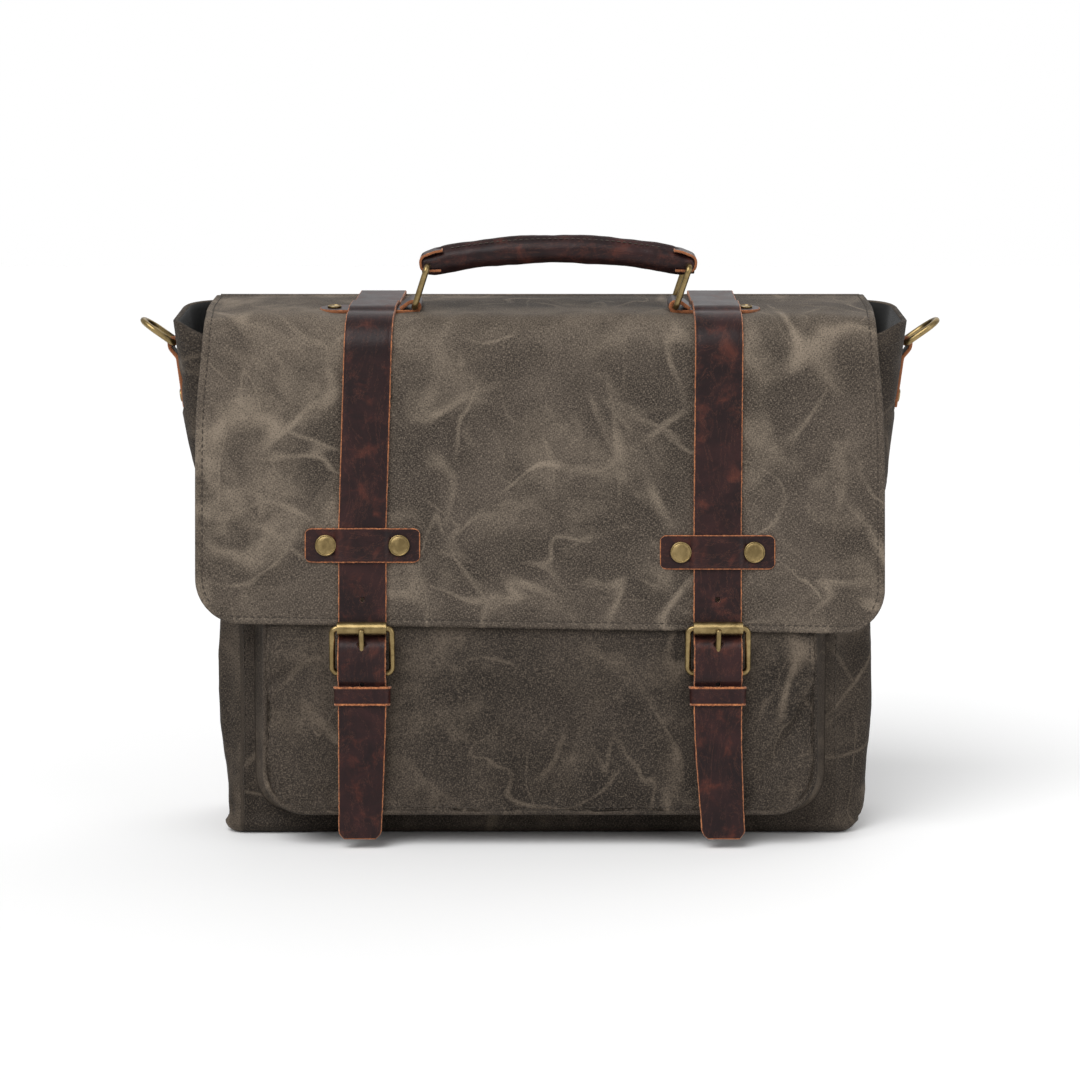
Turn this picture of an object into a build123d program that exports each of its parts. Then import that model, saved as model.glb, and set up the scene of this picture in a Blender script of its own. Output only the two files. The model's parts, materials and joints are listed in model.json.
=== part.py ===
"""Waxed-canvas satchel with a full flap, two leather buckle straps and a carry handle.

Millimetres, +Z up, +Y to the back, origin at the middle of the base.
Three working frames are used:
  world  - the bag itself,
  TOP    - x across, y to the back along the sloping flap top, z out of the flap,
  FRONT  - x across, y up along the leaning flap front, z out of the front pocket's face.
"""

import os
from math import asin, atan2, cos, degrees, radians, sin

from build123d import *

# ---------------------------------------------------------------- bag body
BODY_LEVELS = {0.0: 190.0, 160.0: 194.0, 245.0: 209.0, 318.0: 218.5}  # height: half width
BODY_BACK_Y = 69.6
BODY_FRONT_Y = -30.0
BODY_CORNER = 20.0
BASE_EDGE = 8.0
CANVAS = 2.4
LINING = 1.0
SEAM_X = 180.0
BODY_MID_Y = (BODY_BACK_Y + BODY_FRONT_Y) / 2
BODY_DEPTH = BODY_BACK_Y - BODY_FRONT_Y

# ---------------------------------------------------------------- flap
FLAP_WIDTH = 401.0
FLAP_CANVAS = 2.0
FLAP_LINING = 1.0
FLAP_GAP = 0.5
SEAM_GAP = 0.4
FLAP_BOTTOM = 131.0
FLAP_CORNER = 26.0
FLAP_INNER_BEND = 18.6
HINGE_Y = 70.0
TOP_SLOPE = 7.0
FRONT_LEAN = 6.5
TOP_INNER_Z = 315.0
POCKET_FOOT_Y = -66.2

TOP = Plane(
    origin=(0, HINGE_Y, TOP_INNER_Z),
    x_dir=(1, 0, 0),
    z_dir=(0, -sin(radians(TOP_SLOPE)), cos(radians(TOP_SLOPE))),
)
FRONT = Plane(
    origin=(0, POCKET_FOOT_Y, 0),
    x_dir=(1, 0, 0),
    z_dir=(0, -cos(radians(FRONT_LEAN)), sin(radians(FRONT_LEAN))),
)

# heights above the pocket face in the FRONT frame (flap inner face = FLAP_IN)
FLAP_IN = 0.4
FLAP_OUT = FLAP_IN + FLAP_LINING + FLAP_CANVAS

# ---------------------------------------------------------------- front pocket
POCKET_HALF_FRONT = 161.0
POCKET_HALF_BACK = 169.0
POCKET_BOTTOM_FRONT = 20.0
POCKET_BOTTOM_BACK = 13.0
POCKET_TOP = 215.0
POCKET_CORNER = 24.0
POCKET_WALL = 2.0
PIPING = 1.7

# ---------------------------------------------------------------- leather straps
STRAP_X = 103.0
STRAP_WIDTH = 28.0
STRAP = 2.8
STRAP_TIP = 5.5
TAIL_WIDTH = 25.0
TAPER_FROM = 75.0
TIP_CUT = 4.0
TIP_ROUND = 2.5
HOLE = 1.5
PLAIN_HOLES = (95.7, 144.7)
PRONG_SLOT_V = 113.8
PRONG_SLOT_LENGTH = 16.0
LEATHER = 2.2
TAB_LENGTH = 67.0
TAB_HEIGHT = 20.0
TAB_V = 176.2
TAB_CORNER = 4.0
RIVET_HALF_PITCH = 21.3
RIVET_CAP = 6.2
RIVET_CAP_HEIGHT = 1.6

# ---------------------------------------------------------------- buckle and keeper
WIRE = 1.75
FRAME_HALF = 17.3
FRAME_HEEL_CORNER = 3.6
FRAME_ROLLER_CORNER = 3.0
HEEL_V = 102.2
HEEL_N = 6.3
ROLLER_V = 128.2
ROLLER_N = 10.4
ROLLER = 3.9
ROLLER_LENGTH = 28.4
RUNNING_FIT = 0.05
PRONG = 1.6
PRONG_EYE = 3.8
PRONG_OVER = 1.0
CHAPE_BACK = 2.2
CHAPE_WIDTH = 27.0
CHAPE_BOTTOM = 52.0
KEEPER = 1.6
KEEPER_V = 89.0
KEEPER_HEIGHT = 11.0
KEEPER_HALF = 14.6
KEEPER_OUTER_CORNER = 2.2
KEEPER_INNER_CORNER = 0.6
SNAP_V = 62.0
SNAP_STUD = 4.0
SNAP_STUD_HEIGHT = 1.4
SNAP_SOCKET = 8.0
SNAP_RECESS = 5.5
SNAP_RECESS_DEPTH = 1.3
SNAP_LOW = 0.5
FRAME_LENGTH = ((ROLLER_V - HEEL_V) ** 2 + (ROLLER_N - HEEL_N) ** 2) ** 0.5
FRAME_TILT = degrees(atan2(ROLLER_N - HEEL_N, ROLLER_V - HEEL_V))
PRONG_TILT = FRAME_TILT + degrees(asin((ROLLER + PRONG + 2 * RUNNING_FIT) / FRAME_LENGTH))

# ---------------------------------------------------------------- handle and rings
RING_WIRE = 1.8
LOOP_OUT = RING_WIRE + 0.1 + LEATHER
ANCHOR_X = {-1: 74.0, 1: 80.0}  # the handle sits a little to the right of the middle
ANCHOR_Y = -68.0
ANCHOR_M = FLAP_LINING + FLAP_CANVAS + LOOP_OUT
ANCHOR_WIDTH = 22.0
ANCHOR_TIP = 130.6
ANCHOR_RIVET_X = 122.0
ANCHOR_RIVET_CAP = 4.2
SMALL_CAP_HEIGHT = 1.2
SKIVE_LENGTH = 7.5
RING_REACH = 25.0
RING_LEAN = 18.0
RING_HALF = 14.3
RING_CORNER = 3.0
HANDLE_SAG = 6.8
HANDLE_LIFT = 2.2
GRIP_STOP = 7.0
WRAP_RADIUS = 7.6
CORE_RADIUS = 4.5
SIDE_RING_Z = 291.0
SIDE_RING_HALF = 11.8
SIDE_RING_LENGTH = 23.3
SIDE_RING_UP = 35.0
SIDE_TAB_WIDTH = 17.0
SIDE_TAB_BOTTOM = 252.0
SIDE_TAB_CORNER = 5.0
SIDE_TAB_RIVET_UP = 7.0
SIDE_RIVET_CAP = 4.0

# ---------------------------------------------------------------- inside of the bag
BOARD = 3.0
BOARD_CLEARANCE = 9.0
BOARD_CORNER = 6.0
DIVIDER_WIDTH = 356.0
DIVIDER_HEIGHT = 272.0
DIVIDER = 6.0
DIVIDER_Y = 44.0
DIVIDER_CORNER = 10.0
SLIP_WIDTH = 210.0
SLIP_DEPTH = 9.0
SLIP_HEIGHT = 110.0
SLIP_BOTTOM = 120.0
SLIP_CLOTH = 1.2

BIG = 800.0  # larger than the whole bag, for cutting blocks
SIDES = (("left", -1), ("right", 1))


# ---------------------------------------------------------------- helpers
def across(sketch, width, x=0.0):
    """Stand a side-view sketch up in the frame's y-z plane and run it across x."""
    return Pos(x, 0, 0) * (Plane.YZ * extrude(sketch, width / 2, both=True))


def sheet(points, radii, thickness):
    """Side-view sketch of a sheet whose middle line follows the points."""
    return trace(FilletPolyline(*points, radius=radii), line_width=thickness)


def front_yz(v, n):
    """World (y, z) of a point given in the FRONT frame."""
    lean = radians(FRONT_LEAN)
    return (POCKET_FOOT_Y + v * sin(lean) - n * cos(lean), v * cos(lean) + n * sin(lean))


def top_yz(y, m):
    """World (y, z) of a point given in the TOP frame."""
    slope = radians(TOP_SLOPE)
    return (HINGE_Y + y * cos(slope) - m * sin(slope), TOP_INNER_Z + y * sin(slope) + m * cos(slope))


def bend_corner(m):
    """World (y, z) where the sloping top and leaning front lines, m above the flap's
    inner face, would meet without the rounded bend."""
    base_y, base_z = front_yz(0, FLAP_IN + m)
    top_y, top_z = top_yz(0, m)
    slope, lean = radians(TOP_SLOPE), radians(FRONT_LEAN)
    gap = (top_y - base_y) * -sin(slope) + (top_z - base_z) * cos(slope)
    v = gap / (cos(lean) * cos(slope) - sin(lean) * sin(slope))
    return (base_y + v * sin(lean), base_z + v * cos(lean))


def flap_sheet(m_low, thickness):
    """A sheet over the whole flap, its inner face m_low above the flap's inner face."""
    m = m_low + thickness / 2
    points = (top_yz(-SEAM_GAP, m), bend_corner(m), front_yz(FLAP_BOTTOM, FLAP_IN + m))
    return across(sheet(points, FLAP_INNER_BEND + m, thickness), FLAP_WIDTH)


def fold_plane():
    """Plane through the flap's bend that parts the top from the front."""
    inner_y, inner_z = bend_corner(0)
    turn = radians((TOP_SLOPE + FRONT_LEAN - 90) / 2)
    return Plane(
        origin=(0, inner_y, inner_z),
        x_dir=(1, 0, 0),
        z_dir=(0, cos(turn + radians(90 - FRONT_LEAN)), sin(turn + radians(90 - FRONT_LEAN))),
    )


def body_outline(z, inset):
    """Rounded plan outline of the bag body at height z, drawn in by inset."""
    half = BODY_LEVELS[z] - inset
    outline = RectangleRounded(2 * half, BODY_DEPTH - 2 * inset, BODY_CORNER - inset)
    return Pos(0, BODY_MID_Y, z) * outline


def body_solid(inset):
    """The bag body as a solid, drawn in by inset on every side and at the base."""
    solid = loft([body_outline(z, inset) for z in BODY_LEVELS], ruled=True)
    upwards = (Align.CENTER, Align.CENTER, Align.MIN)
    solid = solid & Pos(0, 0, inset) * Box(BIG, BIG, BIG, align=upwards)
    lowest = solid.faces().sort_by(Axis.Z)[0]
    return fillet(lowest.edges(), BASE_EDGE - inset)


def under_flap():
    """Everything that lies safely under the closed flap: it trims the bag's rim."""
    corner = bend_corner(-FLAP_GAP)
    rear = top_yz(BODY_DEPTH, -FLAP_GAP)
    foot = front_yz(0, FLAP_IN - FLAP_GAP)
    roof = FilletPolyline(rear, corner, foot, radius=FLAP_INNER_BEND - FLAP_GAP)
    floor = Polyline(foot, (foot[0], -BASE_EDGE), (rear[0], -BASE_EDGE), rear)
    return across(make_face([roof, floor]), BIG)


def ring_wire(half, length, near_radius, far_radius, wire):
    """Closed wire ring in the x-y plane: straight bar on the x axis, far side at y = length."""
    radii = (near_radius, near_radius, far_radius, far_radius)
    corners = ((-half, 0), (half, 0), (half, length), (-half, length))
    path = FilletPolyline(*corners, radius=radii, close=True)
    start = path @ 0
    section = Plane(origin=start, z_dir=path % 0) * Circle(wire)
    return sweep(section, path)


def rivet(radius, height):
    """Domed rivet cap standing on z = 0."""
    cap = extrude(Circle(radius), height)
    return fillet(cap.edges().sort_by(Axis.Z)[-1], height * 0.6)


# ---------------------------------------------------------------- bag body pieces
def body_pieces():
    """Front, back, two side gussets and the turned-up base, cut from one shell."""
    shell = (body_solid(0) - body_solid(CANVAS)) & under_flap()
    downwards = (Align.CENTER, Align.CENTER, Align.MAX)
    low = Pos(0, 0, BASE_EDGE) * Box(BIG, BIG, BIG, align=downwards)
    upper = shell - low
    middle = Box(2 * SEAM_X, BIG, BIG)
    ahead = (Align.CENTER, Align.MAX, Align.CENTER)
    front_half = Pos(0, BODY_MID_Y, 0) * Box(BIG, BIG, BIG, align=ahead)
    right_half = Box(BIG, BIG, BIG, align=(Align.MIN, Align.CENTER, Align.CENTER))
    walls = upper & middle
    gussets = upper - middle
    return {
        "base_panel": shell & low,
        "front_panel": walls & front_half,
        "back_panel": walls - front_half,
        "side_gusset_left": gussets - right_half,
        "side_gusset_right": gussets & right_half,
    }


def body_lining():
    """Thin lining skin inside the body, open at the mouth."""
    skin = body_solid(CANVAS) - body_solid(CANVAS + LINING)
    return skin & Pos(0, 0, -1.5) * under_flap()


def base_board():
    """Stiff board that lies on the lining at the bottom of the bag."""
    plan = RectangleRounded(DIVIDER_WIDTH, BODY_DEPTH - 2 * BOARD_CLEARANCE, BOARD_CORNER)
    return Pos(0, BODY_MID_Y, CANVAS + LINING) * extrude(plan, BOARD)


def laptop_divider():
    """Padded panel that parts the laptop space from the main space."""
    panel = RectangleRounded(DIVIDER_WIDTH, DIVIDER_HEIGHT, DIVIDER_CORNER)
    foot = CANVAS + LINING + BOARD + RUNNING_FIT * 4
    upright = Plane.XZ * extrude(panel, DIVIDER / 2, both=True)
    return Pos(0, DIVIDER_Y, foot + DIVIDER_HEIGHT / 2) * upright


def inner_pocket():
    """Flat slip pocket on the inside of the front panel, open at the top."""
    wall = BODY_FRONT_Y + CANVAS + LINING
    corner = (Align.CENTER, Align.MIN, Align.MIN)
    tray = Box(SLIP_WIDTH, SLIP_DEPTH, SLIP_HEIGHT, align=corner)
    hollow = Box(SLIP_WIDTH - 2 * SLIP_CLOTH, SLIP_DEPTH, SLIP_HEIGHT, align=corner)
    return Pos(0, wall, SLIP_BOTTOM) * (tray - Pos(0, -SLIP_CLOTH, SLIP_CLOTH) * hollow)


def pocket_outline(half, bottom, top, corner, inset):
    """Upright pocket outline with two rounded lower corners, drawn in by inset."""
    width = 2 * (half - inset)
    full = RectangleRounded(width, 2 * (top - bottom), corner - inset)
    keep = Pos(0, bottom + inset) * Rectangle(
        width, top - bottom - inset, align=(Align.CENTER, Align.MIN)
    )
    return (Pos(0, top + inset) * full) & keep


def pocket_block(inset, front_n, top):
    """Solid the size of the pocket, from the body's front panel to the pocket face."""
    face = FRONT * Pos(0, 0, front_n) * pocket_outline(
        POCKET_HALF_FRONT, POCKET_BOTTOM_FRONT, top, POCKET_CORNER, inset
    )
    wall = Plane(origin=(0, BODY_FRONT_Y, 0), x_dir=(1, 0, 0), z_dir=(0, -1, 0))
    root = wall * pocket_outline(POCKET_HALF_BACK, POCKET_BOTTOM_BACK, top, POCKET_CORNER, inset)
    return loft([root, face], ruled=True)


def pocket_pieces():
    """The pocket's face panel, its gusset strip and the piping round the seam."""
    outline = pocket_outline(
        POCKET_HALF_FRONT - PIPING, POCKET_BOTTOM_FRONT + PIPING, POCKET_TOP, POCKET_CORNER, 0
    )
    edge = outline.wire().edges().filter_by(lambda e: (e @ 0.5).Y < POCKET_TOP - 1)
    seam = FRONT * Pos(0, 0, -PIPING) * Wire(edge)
    piping = sweep(Plane(origin=seam @ 0, z_dir=seam % 0) * Circle(PIPING), seam)
    face = FRONT * Pos(0, 0, -POCKET_WALL) * extrude(outline, POCKET_WALL)
    gusset = pocket_block(0, 0, POCKET_TOP) - pocket_block(POCKET_WALL, 0.2, POCKET_TOP + 0.01)
    outwards = (Align.CENTER, Align.CENTER, Align.MIN)
    lid = FRONT * Pos(0, 0, -POCKET_WALL) * Box(BIG, BIG, BIG, align=outwards)
    return {
        "pocket_front": face - piping,
        "pocket_gusset": gusset - lid - piping,
        "pocket_piping": piping,
    }


def gusset_flare():
    """Lean of the side gusset near the mouth, in degrees, and a point on its outer face."""
    (z_low, half_low), (z_high, half_high) = list(BODY_LEVELS.items())[-2:]
    rate = (half_high - half_low) / (z_high - z_low)
    return degrees(atan2(rate, 1)), half_low + rate * (SIDE_RING_Z - z_low)


def side_frame(sign):
    """Frame on the outer face of a gusset: x to the back, y up the gusset, z outwards."""
    flare, half = gusset_flare()
    across_y = (0, sign, 0)
    outward = (sign * cos(radians(flare)), 0, -sin(radians(flare)))
    return Plane(origin=(sign * half, BODY_MID_Y, SIDE_RING_Z), x_dir=across_y, z_dir=outward)


def side_tab(sign):
    """Leather strip folded round the side ring's bar and fixed down the gusset."""
    length = SIDE_RING_Z - SIDE_TAB_BOTTOM
    fold = make_hull(
        [
            *(Pos(0, LOOP_OUT) * Circle(LOOP_OUT)).edges(),
            *(Pos(-9, LEATHER) * Rectangle(2, 2 * LEATHER)).edges(),
        ]
    )
    layers = Pos(-length / 2 - 4, LEATHER) * Rectangle(length - 8, 2 * LEATHER)
    bar = Pos(0, LOOP_OUT) * Circle(RING_WIRE + 0.1)
    strip = across(fold + layers - bar, SIDE_TAB_WIDTH)
    strip = fillet(strip.edges().filter_by(Axis.Z).group_by(Axis.Y)[0], SIDE_TAB_CORNER)
    return side_frame(sign) * strip


def side_tab_rivet(sign):
    """Rivet cap near the lower end of the side tab."""
    up = SIDE_TAB_BOTTOM - SIDE_RING_Z + SIDE_TAB_RIVET_UP
    return side_frame(sign) * Pos(0, up, 2 * LEATHER) * rivet(SIDE_RIVET_CAP, SMALL_CAP_HEIGHT)


def side_ring(sign):
    """D-shaped wire ring for the shoulder strap, resting tipped up and out."""
    ring = ring_wire(SIDE_RING_HALF, SIDE_RING_LENGTH, RING_CORNER, SIDE_RING_HALF - 0.6, RING_WIRE)
    return side_ring_frame(sign) * ring


def side_ring_frame(sign):
    """Frame on the side ring's bar: x along the bar, y out along the resting ring."""
    pivot = side_frame(sign).location * Pos(0, 0, LOOP_OUT)
    up = radians(SIDE_RING_UP)
    out = Vector(sign * cos(up), 0, sin(up))
    bar = Vector(0, sign, 0)
    return Plane(origin=pivot.position, x_dir=bar, z_dir=bar.cross(out))


def snap_stud(sign):
    """Shallow snap stud on the pocket's face, behind the strap."""
    stud = extrude(Circle(SNAP_STUD), SNAP_STUD_HEIGHT)
    return FRONT * Pos(sign * STRAP_X, SNAP_V, 0) * chamfer(stud.edges().sort_by(Axis.Z)[-1], 0.5)


# ---------------------------------------------------------------- flap pieces
def flap_outline():
    """Prism that rounds the two lower corners of the flap."""
    plan = Pos(0, FLAP_BOTTOM + BIG / 2) * RectangleRounded(FLAP_WIDTH, BIG, FLAP_CORNER)
    return FRONT * extrude(plan, BIG, both=True)


def flap_pieces():
    """Canvas and lining of the flap, each parted at the bend."""
    plane = fold_plane()
    pieces = {}
    for name, low, thickness in (("lining", 0, FLAP_LINING), ("canvas", FLAP_LINING, FLAP_CANVAS)):
        whole = flap_sheet(low, thickness)
        front = split(whole, bisect_by=plane, keep=Keep.BOTTOM)
        pieces["flap_top_" + name] = split(whole, bisect_by=plane, keep=Keep.TOP)
        pieces["flap_front_" + name] = front & flap_outline()
    return pieces


def anchor_tab(sign):
    """Leather tab on the flap top, folded round the handle ring and run under the strap."""
    base = ANCHOR_M - LOOP_OUT
    x = ANCHOR_X[sign]
    skived = x + SKIVE_LENGTH
    fold = make_hull(
        [
            *(Pos(x, ANCHOR_M) * Circle(LOOP_OUT)).edges(),
            *(Pos(skived, base + LEATHER * 0.75) * Rectangle(2, LEATHER * 1.5)).edges(),
        ]
    )
    middle = (skived + ANCHOR_TIP) / 2
    strip = Pos(middle, base + LEATHER / 2) * Rectangle(ANCHOR_TIP - skived, LEATHER)
    profile = fold + strip - Pos(x, ANCHOR_M) * Circle(RING_WIRE + 0.1)
    tab = Plane.XZ * extrude(profile, ANCHOR_WIDTH / 2, both=True)
    tab = fillet(tab.edges().filter_by(Axis.Z).group_by(Axis.X)[-1], ANCHOR_WIDTH * 0.45)
    tab = Pos(0, ANCHOR_Y, 0) * tab
    if sign < 0:
        tab = mirror(tab, about=Plane.YZ)
    return TOP * tab


def anchor_rivet(sign):
    """Small rivet at the outer end of an anchor tab."""
    on_tab = ANCHOR_M - LOOP_OUT + LEATHER
    return TOP * Pos(sign * ANCHOR_RIVET_X, ANCHOR_Y, on_tab) * rivet(ANCHOR_RIVET_CAP, SMALL_CAP_HEIGHT)


def strap_line(sign):
    """The whole strap from the back seam, over the top and bend, to its tip."""
    m = FLAP_LINING + FLAP_CANVAS + STRAP / 2
    lift = m + LEATHER
    rise = ANCHOR_WIDTH / 2
    flat = FLAP_OUT + STRAP / 2
    over_heel = HEEL_N + LOOP_OUT + 0.15 + STRAP / 2
    on_chape = CHAPE_BACK + 2 * LEATHER + 0.1 + STRAP / 2
    stops = (
        (top_yz(-SEAM_GAP, m), None),
        (top_yz(ANCHOR_Y + rise + 6, m), 4),
        (top_yz(ANCHOR_Y + rise + 1.5, lift), 4),
        (top_yz(ANCHOR_Y - rise - 1.5, lift), 4),
        (top_yz(ANCHOR_Y - rise - 5, m), 2),
        (bend_corner(m), FLAP_INNER_BEND + m),
        (front_yz(ROLLER_V - 2.9, flat), 2),
        (front_yz(ROLLER_V - 9.7, over_heel - 0.4), 3),
        (front_yz(HEEL_V + 6, over_heel + 0.2), 3),
        (front_yz(HEEL_V - 2.3, over_heel), 2),
        (front_yz(HEEL_V - 6.3, on_chape), 1.5),
        (front_yz(CHAPE_BOTTOM, on_chape), 12),
        (front_yz(24, 2.3), 12),
        (front_yz(STRAP_TIP, 2.1), None),
    )
    points = [point for point, _ in stops]
    radii = [radius for _, radius in stops[1:-1]]
    return across(sheet(points, radii, STRAP), STRAP_WIDTH, sign * STRAP_X)


def strap_cutters(sign):
    """Holes along the strap and the long hole the prong comes through."""
    cutters = [Pos(0, v, 0) * Cylinder(HOLE, BASE_EDGE * 4) for v in PLAIN_HOLES]
    width = 2 * (PRONG + HOLE * 0.4)
    slot = Pos(0, PRONG_SLOT_V, ROLLER_N) * Box(width, PRONG_SLOT_LENGTH, 2 * LOOP_OUT)
    return [FRONT * Pos(sign * STRAP_X, 0, 0) * shape for shape in (*cutters, slot)]


def tail_outline(sign):
    """Prism that tapers the strap tail and rounds its tip."""
    half, end = STRAP_WIDTH / 2, TAIL_WIDTH / 2
    side = (
        (-half, BIG),
        (-half, TAPER_FROM),
        (-end, STRAP_TIP + TIP_CUT),
        (-end + TIP_CUT, STRAP_TIP),
        (end - TIP_CUT, STRAP_TIP),
        (end, STRAP_TIP + TIP_CUT),
        (half, TAPER_FROM),
        (half, BIG),
    )
    plan = make_face(FilletPolyline(*side, radius=TIP_ROUND, close=True))
    return FRONT * Pos(sign * STRAP_X, 0, 0) * extrude(plan, BIG, both=True)


def strap_pieces(side, sign):
    """One strap, parted at the flap's bend."""
    plane = fold_plane()
    whole = strap_line(sign)
    front = split(whole, bisect_by=plane, keep=Keep.BOTTOM) & tail_outline(sign)
    for cutter in strap_cutters(sign):
        front -= cutter
    return {
        "strap_top_" + side: split(whole, bisect_by=plane, keep=Keep.TOP),
        "strap_front_" + side: front,
    }


def cross_tab(sign):
    """Riveted leather bridge that holds the strap against the flap."""
    half, strap = TAB_LENGTH / 2, STRAP_WIDTH / 2 + 0.1
    low, over = FLAP_OUT, FLAP_OUT + STRAP
    right = (
        (strap - 0.5, over + LEATHER),
        (strap + 0.95, low + LEATHER),
        (half, low + LEATHER),
        (half, low),
        (strap, low),
        (strap, over),
    )
    left = [(-x, n) for x, n in reversed(right)]
    profile = make_face(Polyline(*right, *left, close=True))
    bridge = Plane.XZ * extrude(profile, TAB_HEIGHT / 2, both=True)
    plan = extrude(RectangleRounded(TAB_LENGTH, TAB_HEIGHT, TAB_CORNER), BIG, both=True)
    return FRONT * Pos(sign * STRAP_X, TAB_V, 0) * (bridge & plan)


def cross_tab_rivets(sign):
    """The two large rivet caps on a cross tab."""
    cap = Pos(0, TAB_V, FLAP_OUT + LEATHER) * rivet(RIVET_CAP, RIVET_CAP_HEIGHT)
    pair = Pos(-RIVET_HALF_PITCH, 0, 0) * cap + Pos(RIVET_HALF_PITCH, 0, 0) * cap
    return FRONT * Pos(sign * STRAP_X, 0, 0) * pair


def chape(sign):
    """Leather folded round the buckle's heel bar, slotted for the prong, doubled below."""
    doubled = 2 * LEATHER
    middle = CHAPE_BACK + LEATHER
    fold = make_hull(
        [
            *(Pos(HEEL_V, HEEL_N) * Circle(LOOP_OUT)).edges(),
            *(Pos(HEEL_V - 4.6, middle) * Rectangle(1, doubled)).edges(),
        ]
    )
    top = HEEL_V - 4.6
    layers = Pos((top + CHAPE_BOTTOM) / 2, middle) * Rectangle(top - CHAPE_BOTTOM, doubled)
    bar = Pos(HEEL_V, HEEL_N) * Circle(WIRE + 0.1)
    strip = across(fold + layers - bar, CHAPE_WIDTH)
    slot = Pos(0, HEEL_V + 1.5, HEEL_N) * Box(2 * PRONG + 2.2, 13, 20)
    return FRONT * Pos(sign * STRAP_X, 0, 0) * (strip - slot)


def snap_socket(sign):
    """Recessed snap socket on the back of the chape, over the stud."""
    cup = extrude(Circle(SNAP_SOCKET), CHAPE_BACK - SNAP_LOW)
    cup -= extrude(Circle(SNAP_RECESS), SNAP_RECESS_DEPTH)
    return FRONT * Pos(sign * STRAP_X, SNAP_V, SNAP_LOW) * cup


# ---------------------------------------------------------------- buckle
def buckle_frame_axes(sign):
    """Frame on the heel bar: x along the bar, y towards the roller, z outwards."""
    return FRONT * Pos(sign * STRAP_X, HEEL_V, HEEL_N) * Rot(FRAME_TILT, 0, 0)


def buckle_frame(sign):
    """Closed wire frame: heel bar, two arms and the bar the roller turns on."""
    corners = (FRAME_HEEL_CORNER, FRAME_ROLLER_CORNER)
    frame = ring_wire(FRAME_HALF, FRAME_LENGTH, *corners, WIRE)
    return buckle_frame_axes(sign) * frame


def roller(sign):
    """Rolled sleeve that turns on the far bar of the buckle frame."""
    ring = Circle(ROLLER) - Circle(WIRE + RUNNING_FIT)
    sleeve = Plane.YZ * extrude(ring, ROLLER_LENGTH / 2, both=True)
    return buckle_frame_axes(sign) * Pos(0, FRAME_LENGTH, 0) * sleeve


def prong(sign):
    """Straight tongue hung on the heel bar, lying over the roller."""
    length = FRAME_LENGTH + PRONG_OVER
    eye = Plane.YZ * extrude(Circle(PRONG_EYE), PRONG, both=True)
    shank = Rot(-90, 0, 0) * Cylinder(PRONG, length, align=(Align.CENTER, Align.CENTER, Align.MIN))
    shank = fillet(shank.edges().sort_by(Axis.Y)[-1], PRONG * 0.6)
    bore = Plane.YZ * extrude(Circle(WIRE + RUNNING_FIT), PRONG_EYE, both=True)
    place = FRONT * Pos(sign * STRAP_X, HEEL_V, HEEL_N) * Rot(PRONG_TILT, 0, 0)
    return place * (eye + shank - bore)


def keeper(sign):
    """Leather loop that slides on the strap and the chape."""
    low = CHAPE_BACK - 0.1
    high = CHAPE_BACK + 2 * LEATHER + 0.1 + STRAP + 0.1
    window = RectangleRounded(2 * KEEPER_HALF, high - low, KEEPER_INNER_CORNER)
    rim = RectangleRounded(
        2 * (KEEPER_HALF + KEEPER), high - low + 2 * KEEPER, KEEPER_OUTER_CORNER
    )
    loop = Plane.XZ * extrude(rim - window, KEEPER_HEIGHT / 2, both=True)
    return FRONT * Pos(sign * STRAP_X, KEEPER_V, (low + high) / 2) * loop


# ---------------------------------------------------------------- handle
def ring_axes(sign):
    """Frame on a handle ring's lower bar: x along the bar, y up the leaning ring."""
    lean = radians(RING_LEAN)
    local = Plane(
        origin=(sign * ANCHOR_X[sign], ANCHOR_Y, ANCHOR_M),
        x_dir=(0, 1, 0),
        z_dir=(cos(lean), 0, -sin(lean)),
    )
    return TOP * local.location


def handle_ring(sign):
    """Rectangular wire ring between the flap's anchor tab and the handle."""
    ring = ring_wire(RING_HALF, RING_REACH, RING_CORNER, RING_CORNER, RING_WIRE)
    return ring_axes(sign) * ring


def handle_ends():
    """x of the two upper ring bars and their height above the flap, in the TOP frame."""
    lean = radians(RING_LEAN)
    shift = RING_REACH * sin(lean)
    return -ANCHOR_X[-1] + shift, ANCHOR_X[1] + shift, ANCHOR_M + RING_REACH * cos(lean)


def handle_path():
    """Arched middle line of the grip, stopped just short of the ring bars."""
    left, right, height = handle_ends()
    low = height + HANDLE_LIFT
    middle = ((left + right) / 2, low + HANDLE_SAG)
    return ThreePointArc((left + GRIP_STOP, low), middle, (right - GRIP_STOP, low))


def handle_rod(radius):
    """Round rod along the grip's middle line."""
    path = Plane.XZ * handle_path()
    return sweep(Plane(origin=path @ 0, z_dir=path % 0) * Circle(radius), path)


def handle_pieces():
    """Padded core, the leather wrapped round it and the loops at its two ends."""
    left, right, height = handle_ends()
    core = handle_rod(CORE_RADIUS)
    wrap = handle_rod(WRAP_RADIUS) - core
    pieces = {"handle_core": core, "handle_wrap": wrap}
    for side, x, inward in (("left", left, 1), ("right", right, -1)):
        eye = Pos(x, height) * Circle(LOOP_OUT)
        tongue = Pos(x + inward * 6, height + HANDLE_LIFT) * Rectangle(6, 2 * LEATHER)
        bore = Pos(x, height) * Circle(RING_WIRE + 0.1)
        profile = make_hull([*eye.edges(), *tongue.edges()]) - bore
        loop = Plane.XZ * extrude(profile, ANCHOR_WIDTH / 2, both=True)
        pieces["handle_loop_" + side] = loop - handle_rod(WRAP_RADIUS)
    return {name: TOP * Pos(0, ANCHOR_Y, 0) * shape for name, shape in pieces.items()}


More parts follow.
